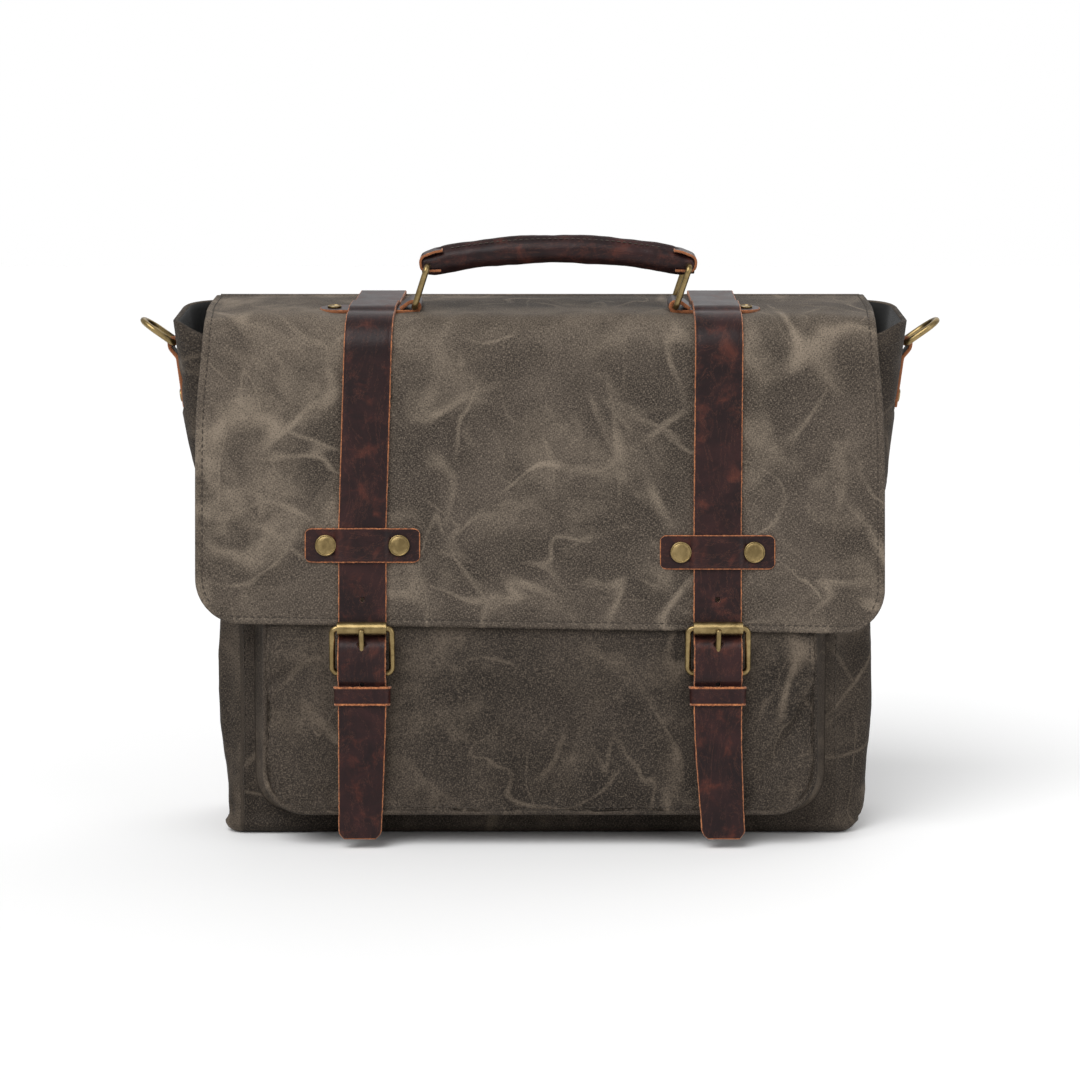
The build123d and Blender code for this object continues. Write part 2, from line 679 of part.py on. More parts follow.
# ---------------------------------------------------------------- all pieces
def all_pieces():
    """Every sub-part by name."""
    pieces = {}
    pieces.update(body_pieces())
    pieces["lining"] = body_lining()
    pieces["base_board"] = base_board()
    pieces["laptop_divider"] = laptop_divider()
    pieces["inner_pocket"] = inner_pocket()
    pieces.update(pocket_pieces())
    pieces.update(flap_pieces())
    pieces.update(handle_pieces())
    makers = {
        "side_tab": side_tab,
        "side_tab_rivet": side_tab_rivet,
        "side_ring": side_ring,
        "snap_stud": snap_stud,
        "anchor_tab": anchor_tab,
        "anchor_rivet": anchor_rivet,
        "cross_tab": cross_tab,
        "cross_tab_rivets": cross_tab_rivets,
        "chape": chape,
        "snap_socket": snap_socket,
        "buckle_frame": buckle_frame,
        "roller": roller,
        "prong": prong,
        "keeper": keeper,
        "handle_ring": handle_ring,
    }
    for side, sign in SIDES:
        pieces.update(strap_pieces(side, sign))
        for name, maker in makers.items():
            pieces[name + "_" + side] = maker(sign)
    return pieces


os.makedirs("parts", exist_ok=True)
for node, shape in all_pieces().items():
    export_step(shape, "parts/" + node + ".step")
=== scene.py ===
"""Looks of the waxed-canvas satchel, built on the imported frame. Lengths are in mm until a mesh is made."""

import json
import math

import bmesh
import bpy
import numpy as np
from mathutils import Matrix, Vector, noise


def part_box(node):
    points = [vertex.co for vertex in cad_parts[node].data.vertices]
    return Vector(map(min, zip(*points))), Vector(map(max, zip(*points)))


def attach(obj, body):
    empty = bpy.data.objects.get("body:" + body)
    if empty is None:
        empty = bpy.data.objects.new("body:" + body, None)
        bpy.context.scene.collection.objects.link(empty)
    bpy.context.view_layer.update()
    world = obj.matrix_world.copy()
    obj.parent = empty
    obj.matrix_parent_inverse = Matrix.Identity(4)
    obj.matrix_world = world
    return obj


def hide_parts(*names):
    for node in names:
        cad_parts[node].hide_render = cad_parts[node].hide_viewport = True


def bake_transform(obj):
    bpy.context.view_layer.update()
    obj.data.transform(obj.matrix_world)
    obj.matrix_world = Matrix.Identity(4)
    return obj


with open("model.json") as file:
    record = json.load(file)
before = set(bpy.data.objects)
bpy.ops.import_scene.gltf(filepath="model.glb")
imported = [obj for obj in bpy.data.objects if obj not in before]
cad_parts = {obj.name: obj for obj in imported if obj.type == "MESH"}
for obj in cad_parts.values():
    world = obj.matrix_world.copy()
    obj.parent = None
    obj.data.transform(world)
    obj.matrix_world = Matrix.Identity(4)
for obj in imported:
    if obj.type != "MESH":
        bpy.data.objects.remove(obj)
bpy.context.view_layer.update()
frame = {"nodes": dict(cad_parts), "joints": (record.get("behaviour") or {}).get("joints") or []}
JOINTS = {j["name"]: j for j in frame["joints"]}
MM = 0.001
SIDES = (("left", -1), ("right", 1))


# ---------------------------------------------------------------- sizes read from the frame
def node_box(name):
    """Lowest and highest corner of a CAD node, in mm."""
    low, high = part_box(name)
    return np.array(low) / MM, np.array(high) / MM


def joint_place(name):
    """Position of a joint's axis, in mm."""
    return np.array(JOINTS[name]["pos_m"]) / MM


HINGE = joint_place("flap_hinge")
RING_AXIS = JOINTS["handle_ring_left_swing"]["axis"]
SLIDE_AXIS = JOINTS["keeper_left_slide"]["axis"]
TOP_SLOPE = math.atan2(RING_AXIS[2], RING_AXIS[1])
FRONT_LEAN = math.atan2(-SLIDE_AXIS[1], -SLIDE_AXIS[2])

BACK_Y = node_box("back_panel")[1][1]
FRONT_Y = node_box("front_panel")[0][1]
FLAP_HALF = node_box("flap_top_canvas")[1][0]
STRAP_X = (node_box("strap_front_right")[0][0] + node_box("strap_front_right")[1][0]) / 2
STRAP_WIDTH = node_box("strap_front_right")[1][0] - node_box("strap_front_right")[0][0]
POCKET_HALF = node_box("pocket_piping")[1][0]
POCKET_ROOT_HALF = node_box("pocket_gusset")[1][0]

# ---------------------------------------------------------------- sizes of the soft pieces
CLOTH = 3.0
WALL = 3.4
LEATHER = 2.2
STRAP = 2.8
FLAP_IN = 0.4
FLAP_INNER_BEND = 18.6
FLAP_CORNER = 26.0
FLAP_BOTTOM = 131.0
TOP_INNER_Z = 315.0
POCKET_FOOT_Y = -66.2
POCKET_TOP = 215.0
POCKET_BOTTOM = 20.0
POCKET_CORNER = 24.0
STRAP_TIP = 5.5
HEEL_V = 102.2
HEEL_N = 6.3
ROLLER_V = 128.2
LOOP_OUT = 4.1
ANCHOR_X = {-1: 74.0, 1: 80.0}
ANCHOR_Y = -68.0
ANCHOR_TIP = 130.6
ANCHOR_RIVET_X = 122.0
RING_REACH = 25.0
GRIP = 7.6
GRIP_SAG = 6.8
BACK_SEAM_RADIUS = 2.4
# stitch length and distance from one stitch to the next
STITCH, STITCH_PITCH = 3.0, 4.1
# buckle straps
PLAIN_HOLES = (144.7, 95.7)
HOLE_RADIUS, PRONG_HOLE_RADIUS = 1.5, 2.3
TAPER_FROM, TIP_CUT = 75, 4.5
# cross tabs: half length, width, height on the front, drop of the right one, rivets
TAB_HALF, TAB_WIDTH, TAB_V, TAB_DROP = 33.5, 20.0, 176.2, 4.0
TAB_RIVET_X = 21.3
# keepers, handle loops and anchor tabs
KEEPER_V, KEEPER_WIDTH, KEEPER_THICK = 89.0, 11.0, 1.6
LOOP_WIDTH, LOOP_THICK = 16.4, 1.5
ANCHOR_WIDTH = 22.0
# side tabs: height on the gusset, foot and rivet below it, width
SIDE_TAB_Z, SIDE_TAB_FOOT, SIDE_TAB_RIVET, SIDE_TAB_WIDTH = 291.0, -39.0, -32.0, 17.0
# pocket gusset
GUSSET, POCKET_MIDDLE_Z = 1.8, 120
# strap: gap over the heel bar, height over the chape, hump over the anchor tab
STRAP_GAP, CHAPE_GAP, HUMP = 0.15, 0.1, 11.0
# rivet caps: (radius, height)
TAB_RIVET, ANCHOR_RIVET, SIDE_RIVET = (6.2, 1.5), (4.2, 1.2), (4.0, 1.4)
# camera and lamps, in metres and degrees
CAMERA_LENS, CAMERA_SENSOR, CAMERA_AWAY, CAMERA_RISE, CAMERA_AIM = 89.0, 36, 1.6, 6.5, 0.173
LAMP_AIM, FLOOR_SIZE, FLOOR_DROP = 0.17, 60, 0.0002
WORLD_LIGHT, WORLD_SEEN = 0.5, 1.0
# cloth: how much too large it is cut, pressure and frames
BODY_CLOTH = (0.022, 1.6, 20)
POCKET_CLOTH = (0.03, 1.2, 22)
# how far the lower right side stands out more than the left
RIGHT_FULLNESS = 6.5
RING_LEAN = math.radians(18)
RIM_FLARE = {0.0: 190.2, 160.0: 194.0, 245.0: 209.0, 318.0: 218.5}


# ---------------------------------------------------------------- working frames
def frame_matrix(origin, x_axis, y_axis):
    """4x4 matrix of a working frame given its origin and two axes."""
    x = np.array(x_axis, float)
    y = np.array(y_axis, float)
    matrix = np.eye(4)
    matrix[:3, 0] = x
    matrix[:3, 1] = y
    matrix[:3, 2] = np.cross(x, y)
    matrix[:3, 3] = origin
    return matrix


WORLD = np.eye(4)
TOP = frame_matrix(
    (0, HINGE[1], TOP_INNER_Z), (1, 0, 0), (0, math.cos(TOP_SLOPE), math.sin(TOP_SLOPE))
)
FRONT = frame_matrix(
    (0, POCKET_FOOT_Y, 0), (1, 0, 0), (0, math.sin(FRONT_LEAN), math.cos(FRONT_LEAN))
)


def place(matrix, points):
    """Points of a working frame in the world, still in mm."""
    points = np.asarray(points, float)
    return points @ matrix[:3, :3].T + matrix[:3, 3]


def front_yz(v, n):
    """World (y, z) of a point v up and n out of the leaning front."""
    return tuple(place(FRONT, (0, v, n))[1:])


def top_yz(y, m):
    """World (y, z) of a point y back and m out of the sloping top."""
    return tuple(place(TOP, (0, y, m))[1:])


def bend_corner(m):
    """World (y, z) where the top and front lines m above the flap's inner face meet."""
    base = np.array(front_yz(0, FLAP_IN + m))
    top = np.array(top_yz(0, m))
    up = np.array((math.sin(FRONT_LEAN), math.cos(FRONT_LEAN)))
    normal = np.array((-math.sin(TOP_SLOPE), math.cos(TOP_SLOPE)))
    return tuple(base + up * ((top - base) @ normal) / (up @ normal))


# ---------------------------------------------------------------- tracks
class Track:
    """A smooth line in a plane: straight runs joined by arcs, read by arc length."""

    def __init__(self, points, radii, step=0.4):
        points = [np.array(p, float) for p in points]
        line = [points[0]]
        for before, corner, after, radius in zip(points, points[1:], points[2:], radii):
            line += self.arc(before, corner, after, radius)
        line.append(points[-1])
        line = np.array(line)
        gaps = np.linalg.norm(np.diff(line, axis=0), axis=1)
        line = line[np.append(gaps > 1e-6, True)]
        length = np.append(0, np.cumsum(np.linalg.norm(np.diff(line, axis=0), axis=1)))
        self.length = length[-1]
        self.t = np.linspace(0, self.length, int(self.length / step) + 2)
        self.p = np.stack([np.interp(self.t, length, line[:, k]) for k in (0, 1)], 1)
        tangent = np.gradient(self.p, self.t, axis=0)
        self.tangent = tangent / np.linalg.norm(tangent, axis=1)[:, None]

    @staticmethod
    def arc(before, corner, after, radius):
        """Points of the arc that rounds one corner."""
        into = (corner - before) / np.linalg.norm(corner - before)
        out = (after - corner) / np.linalg.norm(after - corner)
        turn = math.acos(max(-1, min(1, into @ out)))
        if turn < 1e-3 or radius <= 0:
            return [corner]
        reach = radius * math.tan(turn / 2)
        side = 1 if into[0] * out[1] - into[1] * out[0] > 0 else -1
        normal = side * np.array((-into[1], into[0]))
        start = corner - into * reach
        centre = start + normal * radius
        angles = np.linspace(0, turn, max(3, int(turn / 0.08)))
        return [centre - normal * radius * math.cos(a) + into * radius * math.sin(a) for a in angles]

    def at(self, t):
        """Point and outward normal at arc length t (an array)."""
        point = np.stack([np.interp(t, self.t, self.p[:, k]) for k in (0, 1)], -1)
        tangent = np.stack([np.interp(t, self.t, self.tangent[:, k]) for k in (0, 1)], -1)
        normal = np.stack([tangent[..., 1], -tangent[..., 0]], -1)
        return point, normal

    def where(self, point):
        """Arc length of the track's nearest place to a point."""
        return self.t[np.argmin(np.linalg.norm(self.p - np.array(point), axis=1))]


# ---------------------------------------------------------------- noise on arrays
def noise_at(points, scale, seed=0.0):
    """Perlin noise at points (mm), features about scale mm across."""
    shift = Vector((seed * 17.3, seed * 5.1, seed * 9.7))
    flat = np.asarray(points, float).reshape(-1, 3) / scale
    values = [noise.noise(Vector(p) + shift) for p in flat]
    return np.array(values).reshape(np.shape(points)[:-1])


def creases(points, scale, seed=0.0):
    """Ridged, warped noise from 0 to 1: thin raised folds as in stiff waxed cloth."""
    warp = noise_at(points, scale * 1.7, seed + 3)[..., None] * scale * 0.5
    ridge = 1 - np.abs(noise_at(np.asarray(points) + warp, scale, seed)) * 2.4
    return np.clip(ridge, 0, 1) ** 3


def canvas_relief(points, amount=1.0, seed=0.0):
    """Soft hollows and folds of waxed canvas, in mm."""
    wide = noise_at(points, 95, seed) * 1.5
    middle = noise_at(points, 38, seed + 1) * 0.55
    fold = creases(points, 60, seed + 2) * 0.8
    fine = creases(points, 24, seed + 4) * 0.3
    return (wide + middle + fold + fine) * amount


# ---------------------------------------------------------------- meshes
def make_object(name, verts, faces, materials, indices=None, rest=None):
    """Mesh object from points in mm, with a rest attribute that its materials read."""
    mesh = bpy.data.meshes.new(name)
    verts = np.asarray(verts, float)
    mesh.from_pydata((verts * MM).tolist(), [], [tuple(int(i) for i in f) for f in faces])
    for material in materials:
        mesh.materials.append(material)
    if indices is not None:
        mesh.polygons.foreach_set("material_index", np.asarray(indices, np.int32))
    data = np.asarray(verts if rest is None else rest, float) * MM
    attribute = mesh.attributes.new("rest", "FLOAT_VECTOR", "POINT")
    attribute.data.foreach_set("vector", data.astype(np.float32).ravel())
    obj = bpy.data.objects.new(name, mesh)
    bpy.context.scene.collection.objects.link(obj)
    tidy_normals(obj)
    return obj


def tidy_normals(obj):
    """Face normals outward and smooth shading."""
    work = bmesh.new()
    work.from_mesh(obj.data)
    bmesh.ops.recalc_face_normals(work, faces=work.faces)
    work.to_mesh(obj.data)
    work.free()
    obj.data.polygons.foreach_set("use_smooth", [True] * len(obj.data.polygons))
    obj.data.update()


def spaced(low, high, step, edge=()):
    """Values from low to high about step apart, with extra ones close to both ends."""
    count = max(2, int(round((high - low) / step)) + 1)
    inner = np.linspace(low, high, count)
    extra = [low + e for e in edge] + [high - e for e in edge]
    values = np.unique(np.round(np.concatenate([inner, extra]), 5))
    keep = np.append(True, np.diff(values) > min([0.2, *edge]) * 0.5)
    return values[keep]


EDGE_LINES = (0.25, 0.6, 1.1, 2.0, 3.2, 4.2, 5.4)


def sheet(name, track, width, thickness, materials, options):
    """A strip or sheet that follows a track.

    options: start, end     arc lengths where it begins and ends
             step           grid spacing
             half_at        function(t) -> share of the half width
             matrix, order  working frame and the order of (across, p, q) in it
             offset         middle height above the track
             relief         function(x, t, distance to edge) -> outward shift in mm
             round_edge     how far from the edge the thickness falls away
             x, sway        where its middle lies across, and how that drifts along t
             hang           function(x, t) -> arc length, where it hangs askew
             lines          extra grid lines near the edges
             edge_share     share of the thickness left at the very edge
             edge_band      width of the band beside the edge that takes the edge's material
             indices        materials of the outer face, inner face and edge
             fray, seed     roughness of a cut edge and its noise seed
             open_ends      True where both ends meet, so that only the sides are edges
    """
    start = options.get("start", 0.0)
    end = options.get("end", track.length)
    step = options.get("step", 2.5)
    lines = options.get("lines", EDGE_LINES)
    lines = [e for e in lines if e < width / 2 * 0.8]
    t = spaced(start, end, step, lines)
    s = spaced(-width / 2, width / 2, step, lines) / (width / 2)
    rows, columns = len(t), len(s)
    half = np.array([options["half_at"](v) if "half_at" in options else 1.0 for v in t]) * width / 2
    tt, ss = np.meshgrid(t, s, indexing="ij")
    across = ss * half[:, None]
    sway = options["sway"](tt) if "sway" in options else 0.0
    to_side = half[:, None] - np.abs(across)
    to_end = np.minimum(tt - start, end - tt) if not options.get("open_ends") else to_side * 0 + 99
    distance = np.minimum(to_side, to_end)
    point, normal = track.at(options["hang"](across, tt) if "hang" in options else tt)
    lift = np.full(tt.shape, float(options.get("offset", 0.0)))
    if "relief" in options:
        lift = lift + options["relief"](across, tt, distance)
    falloff = np.clip(distance / options.get("round_edge", 0.5), 0, 1)
    thin = options.get("edge_share", 0.55)
    half_thick = thickness / 2 * (thin + (1 - thin) * np.sqrt(1 - (1 - falloff) ** 2))
    fray = options.get("fray", 0.0)
    rest = np.stack([across + options.get("x", 0.0), tt, tt * 0], -1)
    if fray:
        rough = noise_at(rest, 1.4, options.get("seed", 1)) * fray
        near = np.clip(1 - to_side / 1.0, 0, 1)
        across = across + np.sign(ss) * near * rough
    layers = []
    for side in (1, -1):
        p = point[..., 0] + normal[..., 0] * (lift + side * half_thick)
        q = point[..., 1] + normal[..., 1] * (lift + side * half_thick)
        triple = (across + sway + options.get("x", 0.0), p, q)
        local = np.stack([triple[k] for k in options.get("order", (0, 1, 2))], -1)
        layers.append(place(options.get("matrix", WORLD), local).reshape(-1, 3))
    verts = np.concatenate(layers)
    rest = np.concatenate([rest.reshape(-1, 3), rest.reshape(-1, 3) + (0, 0, 500)])
    faces, indices = sheet_faces(rows, columns, distance, options)
    obj = make_object(name, verts, faces, materials, indices, rest)
    return obj


def sheet_faces(rows, columns, distance, options):
    """Faces of a closed two-layer grid and the material each one takes."""
    total = rows * columns
    edge_band = options.get("edge_band", 0.0)
    outer, inner, edge = options.get("indices", (0, 0, 0))
    faces, indices = [], []
    for r in range(rows - 1):
        for c in range(columns - 1):
            a, b = r * columns + c, r * columns + c + 1
            d, e = a + columns, b + columns
            near = distance[r : r + 2, c : c + 2].max() <= edge_band
            faces += [(a, b, e, d), (a + total, d + total, e + total, b + total)]
            indices += [edge if near else outer, edge if near else inner]
    border = [r * columns for r in range(rows)]
    border += [(rows - 1) * columns + c for c in range(1, columns)]
    border += [r * columns + columns - 1 for r in range(rows - 2, -1, -1)]
    border += [c for c in range(columns - 2, 0, -1)]
    for a, b in zip(border, border[1:] + border[:1]):
        faces.append((a, b, b + total, a + total))
        indices.append(edge)
    return faces, indices


def round_corners(start, end, half, radius, both=False):
    """Share of the half width along a sheet whose far corners are rounded."""

    def share(t):
        left = end - t
        if both:
            left = min(left, t - start)
        if left >= radius:
            return 1.0
        inset = radius - math.sqrt(max(radius**2 - (radius - left) ** 2, 0))
        return (half - inset) / half

    return share


def tube(name, points, radius, material, sides=12, closed=False):
    """Round tube along points (mm)."""
    points = np.asarray(points, float)
    count = len(points)
    if closed:
        tangents = np.roll(points, -1, 0) - np.roll(points, 1, 0)
    else:
        tangents = np.gradient(points, axis=0)
    tangents /= np.linalg.norm(tangents, axis=1)[:, None]
    up = np.array((0.0, 0.0, 1.0)) if abs(tangents[0][2]) < 0.9 else np.array((0.0, 1.0, 0.0))
    verts, rest, length = [], [], 0.0
    for i in range(count):
        if i:
            length += np.linalg.norm(points[i] - points[i - 1])
        side = np.cross(tangents[i], up)
        side /= np.linalg.norm(side)
        up = np.cross(side, tangents[i])
        r = radius[i] if np.ndim(radius) else radius
        for k in range(sides):
            angle = 2 * math.pi * k / sides
            verts.append(points[i] + r * (math.cos(angle) * side + math.sin(angle) * up))
            rest.append((r * angle, length, 0))
    faces = []
    for i in range(count if closed else count - 1):
        j = (i + 1) % count
        for k in range(sides):
            m = (k + 1) % sides
            faces.append((i * sides + k, i * sides + m, j * sides + m, j * sides + k))
    if not closed:
        faces.append(tuple(range(sides)))
        faces.append(tuple(range((count - 1) * sides, count * sides)))
    return make_object(name, verts, faces, [material], None, rest)


def stitches(name, line, normals, material, length=3.0, pitch=4.0, radius=0.32, lift=0.1):
    """A row of short thread stitches along a line of points (mm) lying on a surface."""
    line = np.asarray(line, float)
    normals = np.asarray(normals, float)
    run = np.append(0, np.cumsum(np.linalg.norm(np.diff(line, axis=0), axis=1)))
    verts, faces = [], []
    for number in range(int(run[-1] / pitch)):
        middle = (number + 0.5) * pitch
        stations = np.linspace(middle - length / 2, middle + length / 2, 5)
        p = np.stack([np.interp(stations, run, line[:, k]) for k in range(3)], 1)
        n = np.stack([np.interp(stations, run, normals[:, k]) for k in range(3)], 1)
        along = p[-1] - p[0]
        along /= np.linalg.norm(along)
        base = len(verts)
        for i, (share, dip) in enumerate(((0.35, -0.5), (0.85, 0.0), (1.0, 0.25), (0.85, 0.0), (0.35, -0.5))):
            side = np.cross(along, n[i])
            side /= np.linalg.norm(side)
            for k in range(6):
                angle = math.pi * k / 3
                ring = math.cos(angle) * side + math.sin(angle) * n[i]
                verts.append(p[i] + n[i] * (lift + dip * radius) + ring * radius * share)
        for i in range(4):
            for k in range(6):
                m = (k + 1) % 6
                a, b = base + i * 6, base + (i + 1) * 6
                faces.append((a + k, a + m, b + m, b + k))
        faces.append(tuple(base + k for k in range(6)))
        faces.append(tuple(base + 24 + k for k in range(6)))
    return make_object(name, verts, faces, [material])


def lathe(name, profile, matrix, material, sides=40):
    """Turned piece: profile points are (radius, height) along the frame's z axis."""
    verts, faces = [], []
    for r, h in profile:
        for k in range(sides):
            angle = 2 * math.pi * k / sides
            verts.append((r * math.cos(angle), r * math.sin(angle), h))
    for i in range(len(profile) - 1):
        for k in range(sides):
            m = (k + 1) % sides
            faces.append((i * sides + k, i * sides + m, (i + 1) * sides + m, (i + 1) * sides + k))
    faces.append(tuple(range(sides)))
    faces.append(tuple(range((len(profile) - 1) * sides, len(profile) * sides)))
    return make_object(name, place(matrix, verts), faces, [material])


def moved(matrix, x, y, z):
    """A working frame shifted by x, y, z along its own axes."""
    shifted = matrix.copy()
    shifted[:3, 3] = place(matrix, (x, y, z))
    return shifted


# ---------------------------------------------------------------- materials
# families of pale creases: turn, noise scale, level, half width and strength
CREASES = (
    (0.62, 11.0, 0.5, 0.022, 0.7),
    (-0.7, 12.0, 0.48, 0.019, 0.6),
    (1.25, 17.0, 0.52, 0.018, 0.5),
    (0.15, 21.0, 0.47, 0.015, 0.42),
)


class Nodes:
    """Short hand for building one node material."""

    def __init__(self, name, rest=True):
        self.material = bpy.data.materials.new(name)
        self.material.use_nodes = True
        self.tree = self.material.node_tree
        self.shader = self.tree.nodes["Principled BSDF"]
        if rest:
            source = self.add("ShaderNodeAttribute", attribute_name="rest")
            self.where = source.outputs["Vector"]
        else:
            self.where = self.add("ShaderNodeTexCoord").outputs["Object"]

    def add(self, kind, **settings):
        node = self.tree.nodes.new(kind)
        for key, value in settings.items():
            setattr(node, key, value)
        return node

    def link(self, source, target):
        if isinstance(source, (int, float)):
            target.default_value = source
        elif isinstance(source, tuple):
            target.default_value = (*source, 1.0) if len(source) == 3 else source
        else:
            self.tree.links.new(source, target)

    def noise(self, scale, detail=4.0, rough=0.55, distortion=0.0, stretch=None, shift=(0, 0, 0), turn=0.0):
        node = self.add("ShaderNodeTexNoise")
        place_at = self.where
        if turn:
            rotate = self.add("ShaderNodeVectorRotate", rotation_type="Z_AXIS")
            rotate.inputs["Angle"].default_value = turn
            self.link(place_at, rotate.inputs["Vector"])
            place_at = rotate.outputs["Vector"]
        if stretch or any(shift):
            mapping = self.add("ShaderNodeMapping")
            mapping.inputs["Scale"].default_value = stretch or (1, 1, 1)
            mapping.inputs["Location"].default_value = shift
            self.link(place_at, mapping.inputs["Vector"])
            place_at = mapping.outputs["Vector"]
        self.link(place_at, node.inputs["Vector"])
        node.inputs["Scale"].default_value = scale
        node.inputs["Detail"].default_value = detail
        node.inputs["Roughness"].default_value = rough
        node.inputs["Distortion"].default_value = distortion
        return node.outputs["Fac"]

    def voronoi(self, scale, feature="F1"):
        node = self.add("ShaderNodeTexVoronoi", feature=feature)
        self.link(self.where, node.inputs["Vector"])
        node.inputs["Scale"].default_value = scale
        return node.outputs["Distance"]

    def wave(self, scale, direction, distortion=0.6):
        node = self.add("ShaderNodeTexWave", bands_direction=direction)
        self.link(self.where, node.inputs["Vector"])
        node.inputs["Scale"].default_value = scale
        node.inputs["Distortion"].default_value = distortion
        node.inputs["Detail"].default_value = 1.0
        node.inputs["Detail Scale"].default_value = 1.0
        return node.outputs["Fac"]

    def math(self, operation, a, b=0.0, clamp=False):
        node = self.add("ShaderNodeMath", operation=operation, use_clamp=clamp)
        self.link(a, node.inputs[0])
        self.link(b, node.inputs[1])
        return node.outputs[0]

    def ramp(self, value, low, high, out_low=0.0, out_high=1.0):
        node = self.add("ShaderNodeMapRange", interpolation_type="SMOOTHSTEP")
        self.link(value, node.inputs["Value"])
        node.inputs["From Min"].default_value = low
        node.inputs["From Max"].default_value = high
        node.inputs["To Min"].default_value = out_low
        node.inputs["To Max"].default_value = out_high
        return node.outputs["Result"]

    def band(self, value, centre, width):
        """1 where value is near centre, fading to 0 at width away."""
        away = self.math("ABSOLUTE", self.math("SUBTRACT", value, centre))
        return self.ramp(away, 0.0, width, 1.0, 0.0)

    def mix(self, share, low, high):
        node = self.add("ShaderNodeMix", data_type="RGBA")
        self.link(share, node.inputs["Factor"])
        self.link(low, node.inputs["A"])
        self.link(high, node.inputs["B"])
        return node.outputs["Result"]

    def bump(self, heights):
        """Chain of bumps from (height, strength, distance in metres)."""
        normal = None
        for height, strength, distance in heights:
            node = self.add("ShaderNodeBump")
            node.inputs["Strength"].default_value = strength
            node.inputs["Distance"].default_value = distance
            self.link(height, node.inputs["Height"])
            if normal is not None:
                self.link(normal, node.inputs["Normal"])
            normal = node.outputs["Normal"]
        self.link(normal, self.shader.inputs["Normal"])

    def finish(self, colour, roughness, **fixed):
        self.link(colour, self.shader.inputs["Base Color"])
        self.link(roughness, self.shader.inputs["Roughness"])
        for key, value in fixed.items():
            self.shader.inputs[key.replace("_", " ")].default_value = value
        return self.material


def waxed_canvas(name, dark, middle, pale, chalk=1.0, rest=True, painted_light_share=0.0):
    """Waxed cotton canvas: mottled, with pale soft creases where the wax has cracked.

    The last argument sets how far the left side is painted paler, as painted light falling from the left, and
    half as far along the bend as a painted highlight.
    """
    n = Nodes(name, rest)
    cloud = n.noise(10, 4, 0.55, 0.4)
    patch = n.noise(24, 5, 0.6, 0.5, shift=(3.1, 1.7, 0.4))
    colour = n.mix(n.ramp(cloud, 0.33, 0.65), dark, middle)
    colour = n.mix(n.ramp(patch, 0.46, 0.78, 0.0, 0.4), colour, pale)
    marks = None
    for turn, scale, centre, width, gain in CREASES:
        fold = n.noise(scale, 2.5, 0.45, 0.35, stretch=(1.0, 0.42, 1.0), turn=turn)
        gate = n.ramp(n.noise(15, 2, 0.5, 0.0, shift=(turn * 9, 0.4, scale)), 0.44, 0.66)
        line = n.math("MULTIPLY", n.math("MULTIPLY", n.band(fold, centre, width), gate), gain)
        marks = line if marks is None else n.math("MAXIMUM", marks, line)
    colour = n.mix(n.math("MULTIPLY", marks, chalk), colour, pale)
    # Painted light: the left of the flap is made paler where light falls from the left, and a paler band
    # along the bend is a painted highlight.
    if painted_light_share:
        split = n.add("ShaderNodeSeparateXYZ")
        n.link(n.where, split.inputs["Vector"])
        painted_light_mask = n.ramp(split.outputs["X"], -0.2, -0.1, painted_light_share, 0.0)
        painted_light_mask = n.math("MULTIPLY", painted_light_mask, n.ramp(patch, 0.38, 0.62, 0.1, 1.0))
        painted_bend_highlight = n.math("MULTIPLY", n.band(split.outputs["Y"], 0.088, 0.036), painted_light_share * 0.5)
        painted_light_mask = n.math("MAXIMUM", painted_light_mask, painted_bend_highlight)
        colour = n.mix(painted_light_mask, colour, pale)
    grime = n.ramp(n.noise(48, 5, 0.65, 0.3, shift=(6, 2, 9)), 0.42, 0.68, 0.0, 0.4)
    colour = n.mix(grime, colour, dark)
    # woven threads, both ways, with a little heather
    warp = n.noise(2300, 2, 0.6, stretch=(1.0, 0.3, 1.0))
    weft = n.noise(2300, 2, 0.6, stretch=(0.3, 1.0, 1.0))
    thread = n.math("MULTIPLY", n.math("ADD", warp, weft), 0.5)
    colour = n.mix(n.ramp(thread, 0.5, 0.62, 0.0, 0.5), colour, pale)
    colour = n.mix(n.ramp(thread, 0.39, 0.5, 0.65, 0.0), colour, tuple(c * 0.45 for c in dark))
    rough = n.math("ADD", n.math("MULTIPLY", cloud, 0.2), 0.6)
    n.bump(
        (
            (n.noise(34, 4, 0.55, 0.8), 0.3, 0.0022),
            (marks, 0.35, 0.0007),
            (thread, 0.55, 0.0004),
        )
    )
    return n.finish(colour, rough, Specular_IOR_Level=0.1)


def leather(name, rest=True):
    """Oiled pull-up leather: dark burgundy brown, redder and paler where it is worn."""
    n = Nodes(name, rest)
    cloud = n.noise(26, 5, 0.6, 0.8)
    blot = n.noise(70, 6, 0.65, 0.5, shift=(2.0, 5.0, 1.0))
    colour = n.mix(n.ramp(cloud, 0.35, 0.7), (0.0105, 0.0044, 0.0048), (0.027, 0.0092, 0.009))
    colour = n.mix(n.ramp(blot, 0.5, 0.76, 0.0, 0.8), colour, (0.078, 0.0205, 0.0125))
    scuff = n.noise(34, 8, 0.7, 3.0, stretch=(1.0, 0.35, 1.0), shift=(0.0, 9.0, 3.0))
    scratch = n.band(scuff, 0.5, 0.007)
    colour = n.mix(n.math("MULTIPLY", scratch, 0.35), colour, (0.16, 0.06, 0.035))
    pore = n.voronoi(1500)
    grain = n.voronoi(620, "SMOOTH_F1")
    colour = n.mix(n.ramp(pore, 0.0, 0.35, 0.45, 0.0), colour, (0.008, 0.004, 0.004))
    rough = n.math("ADD", n.math("MULTIPLY", blot, 0.24), 0.3)
    n.bump(
        (
            (cloud, 0.25, 0.0012),
            (grain, 0.22, 0.00025),
            (pore, 0.25, 0.00012),
            (scratch, 0.1, 0.0001),
        )
    )
    return n.finish(
        colour, rough, Specular_IOR_Level=0.2
    )


